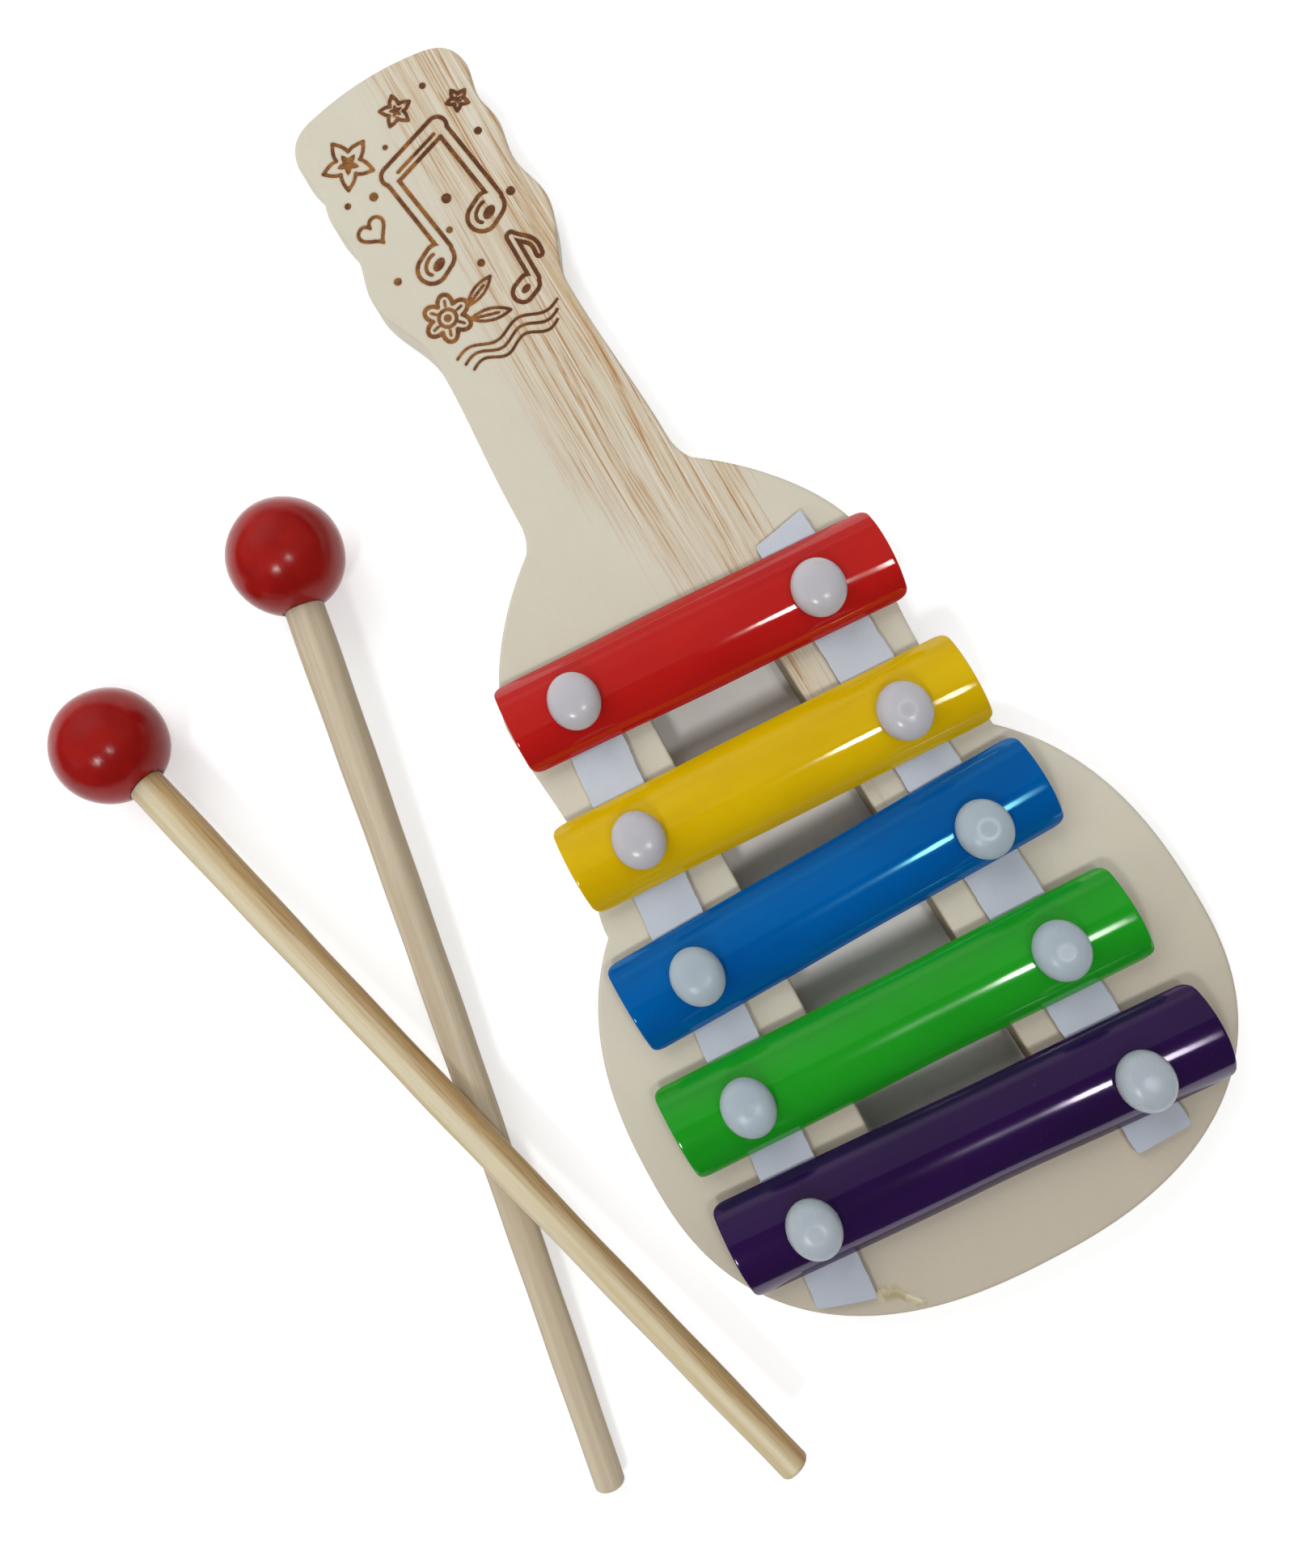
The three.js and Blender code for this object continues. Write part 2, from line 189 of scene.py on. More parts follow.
def pull(points, steps):
    """A Bezier curve through the first and last of its points: each point is weighted by its term
    of the binomial (t + (1 - t)) to the power of the curve's degree. The first point is left out."""
    points = np.asarray(points, float)
    degree = len(points) - 1
    t = (np.arange(1, steps + 1) / steps)[:, None]
    curve = np.zeros((steps, points.shape[1]))
    for k, point in enumerate(points):
        curve += math.comb(degree, k) * t**k * (1 - t) ** (degree - k) * point
    return curve


def board_outline():
    """The board's outline, anticlockwise. The lower bout is a superellipse, |x|^p + |y|^p = 1 with
    its upper half stretched; the waist and the head are half-cosine swings between widest and
    narrowest places, and the shoulders and the head's corners are Bezier curves."""
    base = -BOARD_LENGTH * ORIGIN_SHARE
    widest = BOARD_LENGTH * BOUT_WIDEST_SHARE
    corner = BOARD_LENGTH * WAIST_CORNER_SHARE
    closing = BOARD_LENGTH * BOUT_CLOSING_SHARE

    def bout(height):
        reach = np.where(height < widest, widest, closing - widest)
        part = np.abs(height - widest) / reach
        return BODY_HALF_WIDTH * (1 - part**BOUT_POWER) ** (1 / BOUT_POWER)

    turn = np.linspace(0, np.pi / 2, 72)
    low = widest * (1 - np.cos(turn) ** (2 / BOUT_POWER))
    heights = np.concatenate([low, np.linspace(widest, corner, 50)[1:]])
    half = [np.column_stack([bout(heights), base + heights])]
    waist, upper = board_point(WAIST), board_point(UPPER_BOUT)
    half += [swing(half[-1][-1], waist, 24), swing(waist, upper, 26)]
    lift, lean, foot = map(board_point, SHOULDER)
    root = board_point(NECK_ROOT)
    half += [pull([upper, lift, lean, foot], 48), pull([foot, board_point(NECK_HOLLOW), root], 10)]
    last = root
    for place, steps in zip((NECK_TOP, *HEAD_SWINGS), (36, 24, 16, 14, 12, 12)):
        half.append(swing(last, board_point(place), steps))
        last = board_point(place)
    pulled, crown = map(board_point, HEAD_CORNER)
    top = board_point((1.0, 0.0))
    half += [pull([last, pulled, crown], 16), pull([crown, board_point(HEAD_CROWN), top], 24)]
    right = np.vstack(half)
    left = right[1:-1][::-1] * [-1, 1]
    return np.vstack([right, left])


def rounded(corners, radius, steps=8):
    """A closed outline with straight sides of about a millimetre a step, its corners Bezier curves
    that start and end radius away from each corner."""
    corners = np.asarray(corners, float)
    outline = []
    for before, corner, after in zip(np.roll(corners, 1, 0), corners, np.roll(corners, -1, 0)):
        enter = corner + radius * (before - corner) / np.linalg.norm(before - corner)
        leave = corner + radius * (after - corner) / np.linalg.norm(after - corner)
        outline += [enter[None], pull([enter, corner, leave], steps)]
        side = np.linalg.norm(after - corner) - 2 * radius
        count = int(side)
        t = np.arange(1, count) / max(count, 1)
        direction = (after - corner) / np.linalg.norm(after - corner)
        outline.append(leave + t[:, None] * side * direction)
    return np.vstack(outline)


def circle(centre, radius, steps=32):
    """A circle, clockwise, as the edge of an opening."""
    angle = -2 * np.pi * np.arange(steps) / steps
    return np.asarray(centre) + radius * np.column_stack([np.cos(angle), np.sin(angle)])


def turned(point, degrees):
    """A point or points turned about the origin in plan."""
    angle = math.radians(degrees)
    matrix = np.array([[math.cos(angle), -math.sin(angle)], [math.sin(angle), math.cos(angle)]])
    return np.asarray(point) @ matrix.T


def bar_middle(bar):
    """The middle of a bar in plan."""
    width, height = bar[3]
    return board_point((height, width))


def pin_offsets(bar):
    """The places of a bar's pins in plan, along and across the bar, from its middle."""
    return np.array(bar[4]) * [bar[1], BAR_WIDTH]


def pin_places(bar):
    """The places of a bar's two pins in plan."""
    return turned(pin_offsets(bar), bar[2]) + bar_middle(bar)


# Shells


class Shell:
    """Gathers the points and faces of one closed surface."""

    def __init__(self):
        self.blocks = []
        self.faces = []
        self.count = 0

    def add(self, points):
        """Adds points and gives their numbers."""
        points = np.asarray(points, float)
        self.blocks.append(points)
        self.count += len(points)
        return np.arange(self.count - len(points), self.count)

    def bridge(self, first, second):
        """Joins two closed loops of points, which run the same way round, with four-sided faces."""
        faces = np.column_stack([first, second, np.roll(second, -1), np.roll(first, -1)])
        self.faces += faces.tolist()

    def level(self, plan, height):
        """Adds points in plan at one height, or at one height each, and gives their numbers."""
        return self.add(np.column_stack([plan, np.full(len(plan), height)]))

    def stack(self, rings):
        """Joins each ring to the next."""
        for first, second in zip(rings, rings[1:]):
            self.bridge(first, second)

    def fan(self, loop, tip, flipped=False):
        """Closes a loop with triangles that meet in one point."""
        ahead = np.roll(loop, -1)
        pair = (ahead, loop) if flipped else (loop, ahead)
        self.faces += np.column_stack([*pair, np.full(len(loop), tip)]).tolist()

    def points(self):
        return np.vstack(self.blocks)


def batches(points):
    """The points' numbers in runs of some 4000, so that the tables of distances stay small."""
    return np.array_split(np.arange(len(points)), max(1, len(points) // 4000))


def inside(points, loops):
    """Whether each point is inside an odd number of loops, by counting the sides that a line to the
    right of it crosses."""
    odd = np.zeros(len(points), bool)
    px, py = points[:, :1], points[:, 1:]
    for loop in loops:
        x1, y1 = loop.T
        x2, y2 = np.roll(loop, -1, 0).T
        rise = np.where(y2 == y1, 1e-12, y2 - y1)
        for part in batches(points):
            spans = (y1 > py[part]) != (y2 > py[part])
            crossing = x1 + (py[part] - y1) * (x2 - x1) / rise
            odd[part] ^= (spans & (px[part] < crossing)).sum(1) % 2 == 1
    return odd


def clear_of(points, loops, gap):
    """Whether each point is at least gap from every point of the loops."""
    edge = np.vstack(loops)
    clear = np.ones(len(points), bool)
    for part in batches(points):
        apart = points[part, None, :] - edge[None, :, :]
        clear[part] = (apart**2).sum(2).min(1) > gap**2
    return clear


def lattice(low, high, pitch):
    """Points of a square grid, or one with a pitch for each axis, over a rectangle in plan."""
    step = np.broadcast_to(pitch, 2)
    x = np.arange(low[0], high[0] + step[0] / 2, step[0])
    y = np.arange(low[1], high[1] + step[1] / 2, step[1])
    return np.array(np.meshgrid(x, y)).reshape(2, -1).T


def flat_fill(loops, inner):
    """Triangles over the region between closed loops, through the points inside it: a Delaunay net
    that keeps the loops' sides, less the triangles whose middles are outside. Gives the triangles,
    anticlockwise, as numbers of the loops' points and then the inner ones."""
    flat = np.vstack([*loops, inner])
    sides, start = [], 0
    for loop in loops:
        ring = np.arange(start, start + len(loop))
        sides += np.column_stack([ring, np.roll(ring, -1)]).tolist()
        start += len(loop)
    net = delaunay_2d_cdt([Vector(p) for p in flat], sides, [], 0, 1e-7)
    points = np.array([tuple(p) for p in net[0]])
    source = np.array([ids[0] for ids in net[3]])
    triangles = np.array(net[2])
    middles = points[triangles].mean(1)
    triangles = triangles[inside(middles, loops)]
    a, b, c = (points[triangles[:, k]] for k in range(3))
    area = (b[:, 0] - a[:, 0]) * (c[:, 1] - a[:, 1]) - (b[:, 1] - a[:, 1]) * (c[:, 0] - a[:, 0])
    triangles[area < 0] = triangles[area < 0][:, ::-1]
    return source[triangles]


def outward(loop):
    """Unit normals in plan, to the right of the way that a closed loop runs."""
    ahead = np.roll(loop, -1, 0) - np.roll(loop, 1, 0)
    ahead /= np.linalg.norm(ahead, axis=1)[:, None]
    return np.column_stack([ahead[:, 1], -ahead[:, 0]])


def plate(outline, openings, low, high, rounding, inner, pits=(), lip=0.35, relief=None):
    """A flat plate with rounded edges. Its rim is a profile carried along each outline: a lip on
    the upper face, a quarter circle, the wall, a quarter circle and a lip on the lower face, set in
    from the outline along its normal. The faces between the rims are flat fills. pits are (circle,
    floor) for blind holes, and relief(x, y) is added to the height of the upper face's points."""
    shell = Shell()
    quarter = np.linspace(0, np.pi / 2, 5)
    inset = np.concatenate([[rounding + lip], rounding * (1 - np.sin(quarter))])
    drop = np.concatenate([[0], rounding * (1 - np.cos(quarter))])
    profile = [*zip(inset, high - drop), *zip(inset[::-1], low + drop[::-1])]
    tops, bottoms = [], []
    for curve in (outline, *openings):
        normals = outward(curve)
        rings = [shell.level(curve - depth * normals, height) for depth, height in profile]
        shell.stack(rings)
        tops.append(rings[0])
        bottoms.append(rings[-1])
    for curve, floor in pits:
        mouth, foot = shell.level(curve, high), shell.level(curve, floor)
        shell.bridge(mouth, foot)
        shell.fan(foot, shell.level([curve.mean(0)], floor)[0], flipped=True)
        tops.append(mouth)
    for rings, height, upper in ((tops, high, True), (bottoms, low, False)):
        known = shell.points()
        loops = [known[ring][:, :2] for ring in rings]
        grid = inner if upper else inner[::7]
        grid = grid[inside(grid, loops)]
        grid = grid[clear_of(grid, loops, 0.12)]
        if upper and relief is not None:
            height = height + relief(*grid.T)
        numbers = np.concatenate([*rings, shell.level(grid, height)])
        triangles = numbers[flat_fill(loops, grid)]
        shell.faces += (triangles if upper else triangles[:, ::-1]).tolist()
    return shell


def lathe(profile, steps):
    """A turned solid about Z: the profile (radius, height), from its top pole to its bottom one, is
    carried round a full circle. Its first and last points lie on the axis."""
    shell = Shell()
    angle = 2 * np.pi * np.arange(steps) / steps
    unit = np.column_stack([np.cos(angle), np.sin(angle)])
    rings = [shell.level(radius * unit, height) for radius, height in profile[1:-1]]
    shell.stack(rings)
    top, bottom = (shell.level([[0.0, 0.0]], profile[end][1])[0] for end in (0, -1))
    shell.fan(rings[0], top)
    shell.fan(rings[-1], bottom, flipped=True)
    return shell


def smooth(value, low, high):
    """0 below low, 1 above high and an S-shaped rise between: 3t^2 - 2t^3."""
    t = np.clip((value - low) / (high - low), 0, 1)
    return t * t * (3 - 2 * t)


def near(points, line):
    """Distance of each point in plan from a polyline: the least of its distances to the sides."""
    best = np.full(len(points), 1e9)
    for a, b in zip(line[:-1], line[1:]):
        side = b - a
        t = np.clip(((points - a) @ side) / max(side @ side, 1e-12), 0, 1)
        apart = points - a - t[:, None] * side
        best = np.minimum(best, np.hypot(apart[:, 0], apart[:, 1]))
    return best


def make_piece(name, points, shell, body, node, slot, material, own=None, **floats):
    """Puts a finished shape into the scene as one piece that stands for one CAD node. The material
    reads own, the points before they were bent or placed, and the named floats."""
    mesh = bpy.data.meshes.new(name)
    mesh.from_pydata((points * METRES).tolist(), [], shell.faces)
    mesh.polygons.foreach_set("use_smooth", np.ones(len(mesh.polygons), bool))
    own = points if own is None else own
    layer = mesh.attributes.new("own_mm", "FLOAT_VECTOR", "POINT")
    layer.data.foreach_set("vector", own.astype(np.float32).ravel())
    for key, values in floats.items():
        layer = mesh.attributes.new(key, "FLOAT", "POINT")
        layer.data.foreach_set("value", values.astype(np.float32))
    mesh.materials.append(material)
    mesh.update()
    piece = bpy.data.objects.new(name, mesh)
    bpy.context.scene.collection.objects.link(piece)
    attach(piece, body)
    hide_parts(node)
    return piece


# Finishes


def srgb(red, green, blue):
    """A screen colour from 0 to 255 as the linear colour that a shader takes."""
    parts = [c / 255 for c in (red, green, blue)]
    return (*[c / 12.92 if c < 0.04045 else ((c + 0.055) / 1.055) ** 2.4 for c in parts], 1.0)


def deeper(colour, share):
    """A screen colour's linear colour times a share."""
    return (*[share * c for c in srgb(*colour)[:3]], 1.0)


def maths(operation, swapped=False):
    """A method of a wire that adds a Math node for it and another value, or for the two swapped."""

    def method(self, other):
        pair = (other, self) if swapped else (self, other)
        return self.nodes.node("ShaderNodeMath", {"operation": operation}, dict(enumerate(pair)))

    return method


class Wire:
    """A socket that Python arithmetic can use: every operation adds its Math node."""

    def __init__(self, nodes, socket):
        self.nodes = nodes
        self.socket = socket

    __add__ = __radd__ = maths("ADD")
    __sub__ = maths("SUBTRACT")
    __rsub__ = maths("SUBTRACT", swapped=True)
    __mul__ = __rmul__ = maths("MULTIPLY")
    least = maths("MINIMUM")
    most = maths("MAXIMUM")

    def __abs__(self):
        return self.nodes.node("ShaderNodeMath", {"operation": "ABSOLUTE"}, {0: self})

    def rise(self, low, high, start=0.0, end=1.0):
        """From start to end as the value goes from low to high, smoothly, and level outside."""
        settings = {"interpolation_type": "SMOOTHSTEP"}
        sockets = {"Value": self, "From Min": low, "From Max": high, "To Min": start, "To Max": end}
        return self.nodes.node("ShaderNodeMapRange", settings, sockets)


class Nodes:
    """A node tree, with the few kinds of node that the recipes below share."""

    def __init__(self, tree):
        self.tree = tree
        tree.nodes.clear()

    def link(self, wire, node, key=0):
        self.tree.links.new(wire.socket, node.inputs[key])

    def node(self, kind, settings, sockets, output=0):
        """Adds a node: its settings first, then its sockets' values or links."""
        made = self.tree.nodes.new(kind)
        for key, value in settings.items():
            setattr(made, key, value)
        for key, value in sockets.items():
            if isinstance(value, Wire):
                self.link(value, made, key)
            else:
                made.inputs[key].default_value = value
        return Wire(self, made.outputs[output])

    def outputs(self, wire, keys):
        """More outputs of the node that a wire comes from."""
        return [Wire(self, wire.socket.node.outputs[key]) for key in keys]

    def own(self):
        """The piece's own coordinates in millimetres."""
        return self.node("ShaderNodeAttribute", {"attribute_name": "own_mm"}, {}, "Vector")

    def number(self, name):
        """A number stored on the piece's points."""
        return self.node("ShaderNodeAttribute", {"attribute_name": name}, {}, "Fac")

    def rays(self, *kinds):
        """1 or 0 for each kind of ray: whether the ray that arrives is of that kind."""
        return self.outputs(self.node("ShaderNodeLightPath", {}, {}), kinds)

    def axes(self, vector):
        """The three parts of a vector."""
        return self.outputs(self.node("ShaderNodeSeparateXYZ", {}, {0: vector}), range(3))

    def vector(self, x, y, z):
        return self.node("ShaderNodeCombineXYZ", {}, {0: x, 1: y, 2: z})

    def vectors(self, operation, first, second):
        return self.node("ShaderNodeVectorMath", {"operation": operation}, {0: first, 1: second})

    def stretch(self, vector, size):
        """Coordinates counted in steps of size, one length or a length for each axis."""
        return self.vectors("MULTIPLY", vector, (1 / np.broadcast_to(size, 3)).tolist())

    def noise(self, vector, size, detail=2.0, rough=0.5, seed=0.0):
        """Soft noise from 0 to 1, with blots of the given size."""
        place = self.stretch(vector, size)
        if seed:
            place = self.vectors("ADD", place, (seed, seed * 1.7, seed * 0.6))
        sockets = {"Vector": place, "Scale": 1.0, "Detail": detail, "Roughness": rough}
        return self.node("ShaderNodeTexNoise", {}, sockets)

    def cells(self, vector, size):
        """Distance to the nearest of the points strewn one to a cell of the given size."""
        return self.node("ShaderNodeTexVoronoi", {}, {"Vector": self.stretch(vector, size)})

    def mix(self, first, second, share):
        """A colour between two: each is a wire, a linear colour or three screen values."""
        plain = [srgb(*c) if isinstance(c, tuple) and len(c) == 3 else c for c in (first, second)]
        settings = {"data_type": "RGBA"}
        return self.node("ShaderNodeMix", settings, {0: share, 6: plain[0], 7: plain[1]}, 2)

    def lay(self, base, *layers):
        """A colour with layers, each a colour and its share, laid over it one after another."""
        for colour, share in layers:
            base = self.mix(base, colour, share)
        return base

    def shade(self, colour, amount):
        """A colour made darker or lighter by a number."""
        return self.vectors("MULTIPLY", colour, self.vector(amount, amount, amount))


class Finish(Nodes):
    """One material. The named values go to the sockets of its shader."""

    def __init__(self, name, **plain):
        self.material = bpy.data.materials.new(name)
        self.material.use_nodes = True
        super().__init__(self.material.node_tree)
        self.shader = self.tree.nodes.new("ShaderNodeBsdfPrincipled")
        self.out = self.tree.nodes.new("ShaderNodeOutputMaterial")
        self.tree.links.new(self.shader.outputs[0], self.out.inputs["Surface"])
        for key, value in plain.items():
            self.shader.inputs[key.replace("_", " ")].default_value = value

    def dress(self, colour, roughness, height, depth):
        """Links what changes over the surface: height is in units of depth, in millimetres."""
        bump = self.node("ShaderNodeBump", {}, {"Height": height, "Distance": depth * METRES})
        self.link(colour, self.shader, "Base Color")
        self.link(roughness, self.shader, "Roughness")
        self.link(bump, self.shader, "Normal")
        return self.material


def board_finish():
    """Pale sanded wood. Tan streaks lie lengthwise in a band on the right half, from the head down
    the neck into the shoulder, and a few more beside the slot. Burnt lines follow the number
    burn_mm, and a dried smear of glue the number glue."""
    f = Finish("pale_board_wood", Specular_IOR_Level=0.25)
    own = f.own()
    x, y, z = f.axes(own)

    # Quiet fibres, speckles and mottling over the whole board
    fibre = f.noise(own, (0.35, 9.0, 2.0), 3.0, 0.6)
    flecks = f.noise(own, (0.22, 2.2, 1.0), 2.0, 0.55, seed=3.1)
    speckle = f.noise(own, (0.42, 0.55, 0.5), 3.0, 0.65, seed=2.2)
    mottle = f.noise(own, (3.2, 6.0, 3.0), 4.0, 0.6, seed=7.7)
    clouds = f.noise(own, (22.0, 48.0, 10.0), seed=1.3)
    # Two wood tones, darker and more beige towards the tail: partly the wood's own tone, partly painted
    # shade for the weaker light there
    upper = f.mix((208, 202, 185), (200, 193, 175), clouds)
    lower = f.mix((188, 178, 161), (181, 171, 153), clouds)
    base = f.mix(lower, upper, y.rise(-118.0, -50.0))
    tone = 0.93 + 0.045 * fibre + 0.05 * mottle + 0.025 * flecks + 0.06 * speckle
    base = f.shade(base, tone)

    # Where the streaks lie: the long band, and a short one beside the slot
    bend = (f.noise(own, (9.0, 60.0, 10.0), 1.0, 0.5, seed=5.0) - 0.5) * 3.0
    drift = x - bend
    left_edge = y.rise(46.0, 70.0, -4.5, -0.2) + y.rise(26.0, 4.0, 0.0, 5.5)
    right_edge = y.rise(24.0, 2.0, 26.0, 21.0)
    ragged = (f.noise(own, (0.4, 34.0, 3.0), 2.0, 0.6, seed=9.4) - 0.5) * 10.0
    inside_left = (drift - left_edge + ragged).rise(-1.6, 3.2)
    inside_right = (right_edge - drift + ragged).rise(-1.0, 2.0)
    fade = (y + ragged * 2.0).rise(-24.0, 14.0)
    strength = (drift - left_edge).rise(0.0, 15.0, 0.5, 1.0)
    neck = (x.rise(8.5, 12.5) * y.rise(86.0, 66.0) * y.rise(20.0, 34.0)).least(1.0)
    slot_side = x.rise(10.6, 11.6) * x.rise(17.5, 15.0) * y.rise(-30.0, -24.0) * y.rise(-12.0, -17.0)
    slot_low = x.rise(12.2, 12.8) * x.rise(14.6, 14.0) * y.rise(-49.0, -46.0) * y.rise(-41.0, -43.0)
    band = (inside_left * inside_right * strength * fade + slot_side * 0.9 + slot_low * 0.5).least(1.0)

    # The streaks: washes, long lines broken into dashes, hair lines, and white fibres between
    grain = f.vector(drift, y, z)
    broad = f.noise(grain, (1.5, 55.0, 8.0), 3.0, 0.6, seed=2.4)
    line = f.noise(grain, (0.44, 50.0, 3.0), 3.0, 0.6, seed=8.2)
    broken = f.noise(grain, (0.6, 9.0, 2.0), 4.0, 0.65, seed=4.4)
    hair = f.noise(grain, (0.19, 19.0, 2.0), 2.0, 0.6, seed=1.9)
    pale = f.noise(grain, (0.3, 30.0, 2.0), 2.0, 0.6, seed=6.3)
    washes = broad.rise(0.4, 0.66)
    lines = line.rise(0.512, 0.57) * broken.rise(0.38, 0.56, 0.15, 1.0) * broad.rise(0.36, 0.56, 0.3, 1.0)
    hairs = hair.rise(0.55, 0.62) * broken.rise(0.42, 0.55, 0.1, 1.0)
    base = f.lay(
        base,
        ((206, 192, 166), band * 0.55),
        ((188, 154, 108), (washes * (0.36 + 0.24 * neck) + neck * 0.32) * band),
        ((172, 124, 73), lines * band),
        ((152, 106, 60), (hairs * band * (0.45 + 0.5 * neck)).least(1.0)),
        ((218, 211, 196), (pale.rise(0.53, 0.6) * band * 0.75).least(1.0)),
    )

    # The cut walls, with the board's layers: the outer ones painted paler than the face, painted light for
    # the little light on them; the slot's painted brown, painted shade in that recess
    in_slot = abs(x).rise(16.0, 15.0) * y.rise(-102.0, -101.0) * y.rise(-8.0, -9.5)
    wall = (z - in_slot * 0.14).rise(7.3, 7.9, 1.0, 0.0)
    layers = f.noise(own, (9.0, 9.0, 0.5), seed=4.9).rise(0.35, 0.65)
    painted_lit_wall = f.mix((234, 229, 214), (222, 213, 190), layers)
    painted_shade_slot_wall = f.mix((154, 140, 116), (134, 116, 88), layers)
    base = f.mix(base, f.mix(painted_lit_wall, painted_shade_slot_wall, in_slot), wall * 0.85)

    # Burnt lines: darkest in the middle, with the uneven tone of a scanning beam
    burn = f.number("burn_mm") + (f.noise(own, (0.6, 0.2, 1.0), 2.0, 0.6, seed=3.7) - 0.5) * 0.16
    depth = burn.rise(0.07, -0.07)
    halo = burn.rise(0.4, -0.05) * 0.25
    beam = f.noise(own, (0.5, 0.24, 1.0), 2.0, 0.6, seed=6.0)
    patches = f.noise(own, (2.4, 3.4, 1.0), 3.0, 0.6, seed=9.0)
    heat = (beam * 0.5 + patches * 1.0 - 0.25 + band * 0.18).rise(0.2, 0.72)
    char = f.mix((160, 106, 48), (94, 52, 26), heat)
    base = f.lay(base, ((182, 142, 92), halo), (char, depth))

    # Glue
    glue = f.number("glue")
    smear = f.mix((158, 144, 98), (198, 188, 158), patches.rise(0.4, 0.62))
    base = f.mix(base, smear, glue.rise(0.1, 0.7) * 0.75)
    roughness = (0.64 - 0.12 * fibre) * (1 - glue.rise(0.2, 0.7) * 0.6)
    height = fibre * 0.5 + flecks * 0.3 + speckle * 0.35 + line * band * 0.5 + depth * (beam * 0.8 - 1.2)
    return f.dress(base, roughness, height, 0.035)


def foam_finish():
    """White closed-cell foam tape: fine pores, faint dirt and a matt surface. It is painted a little greyer
    towards the tail, painted shade for the weaker light there, and its cut sides are painted a warm brown,
    painted shade along the strip's edges."""
    f = Finish("white_foam", Specular_IOR_Level=0.2)
    own = f.own()
    _, y, z = f.axes(own)
    pores = f.noise(own, 0.22, 2.0, 0.6)
    dents = f.noise(own, 2.6, seed=2.0)
    dirt = f.noise(own, (7.0, 11.0, 5.0), 3.0, 0.6, seed=5.0)
    # painted shade: the foam is greyer towards the tail, where less light falls
    tail_shaded_foam = f.mix((176, 182, 193), (191, 197, 206), y.rise(-105.0, -15.0))
    base = f.shade(tail_shaded_foam, 0.95 + 0.04 * pores + 0.05 * dirt.rise(0.65, 0.35))
    # painted shade: the cut sides are a warm brown along the strip's edges
    side = z.rise(BOARD_THICKNESS + 1.45, BOARD_THICKNESS + 1.1)
    base = f.mix(base, (178, 164, 144), side * 0.75)
    return f.dress(base, 0.85 - 0.1 * pores, pores * 0.4 + dents * 0.3, 0.05)


def paint_finish(name, colour, deep, smoothness, tint, index, seed):
    """Glossy stoved paint on sheet metal: a faint orange peel, dust caught in it, small chips and a slightly
    deeper tone in broad patches."""
    f = Finish(f"{name}_bar_paint", Specular_Tint=tint, IOR=index)
    own = f.own()
    peel = f.noise(own, 1.3, seed=seed)
    waves = f.noise(own, (16.0, 4.0, 5.0), 1.0, 0.5, seed=seed + 2.0)
    tone = f.noise(own, (24.0, 9.0, 9.0), 3.0, 0.5, seed=seed + 4.0)
    base = f.mix(colour, deep, tone.rise(0.3, 0.75))
    dust = f.cells(own, 3.4)
    size = f.noise(own, 5.0, 1.0, 0.5, seed=seed + 6.0)
    specks = dust.rise(0.05, 0.025) * size.rise(0.52, 0.6)
    chips = f.cells(own, (5.3, 4.1, 4.7)).rise(0.045, 0.025) * size.rise(0.47, 0.4)
    base = f.lay(base, ((214, 190, 180), specks * 0.4), ((46, 34, 26), chips * 0.6))
    scuffs = f.noise(own, (12.0, 0.35, 1.0), 3.0, 0.65, seed=seed + 8.0)
    roughness = smoothness + 0.05 * scuffs.rise(0.55, 0.85) + specks * 0.2
    height = peel * 0.25 + waves * 1.0 + specks * 1.5 - chips * 1.5
    return f.dress(base, roughness, height, 0.01)


def pin_finish():
    """Cloudy white plastic that lets light through. The number ring is 1 on the moulding ring and below 0
    inside it: the ridge is painted lighter, a painted highlight, and the dimple inside it darker, painted
    shade. The number for the tint leans it from a warm white to a darker, cool grey, painted light for the
    bar's colour through the plastic and the weaker light towards the tail."""
    f = Finish(
        "cloudy_pin_plastic",
        Subsurface_Weight=1.0,
        Subsurface_Radius=(1.0, 1.0, 1.0),
        Subsurface_Scale=0.0035,
        IOR=1.42,
    )
    own = f.own()
    cloud = f.noise(own, 3.5)
    grains = f.noise(own, 0.3, seed=3.0)
    ring = f.number("ring")
    cool = f.number("cool")
    # painted light: the darker, cool grey stands in for the bar's colour through the plastic and the weaker
    # light towards the tail
    base = f.mix((188, 186, 190), (168, 180, 188), cool)
    marks = f.cells(own, 4.4).rise(0.04, 0.025)
    base = f.lay(
        f.shade(base, 0.97 + 0.04 * cloud + 0.01 * grains),
        # painted highlight on the ring's ridge, and painted shade in the dimple inside it
        ((216, 219, 223), ring.rise(0.0, 1.0) * 0.5),
        ((158, 166, 170), ring.rise(-0.05, -1.0) * 0.3),
        ((120, 112, 104), marks * 0.4),
    )
    roughness = 0.17 + 0.09 * cool + 0.05 * cloud + 0.04 * grains
    return f.dress(base, roughness, grains * 0.1 + cloud * 0.3, 0.01)


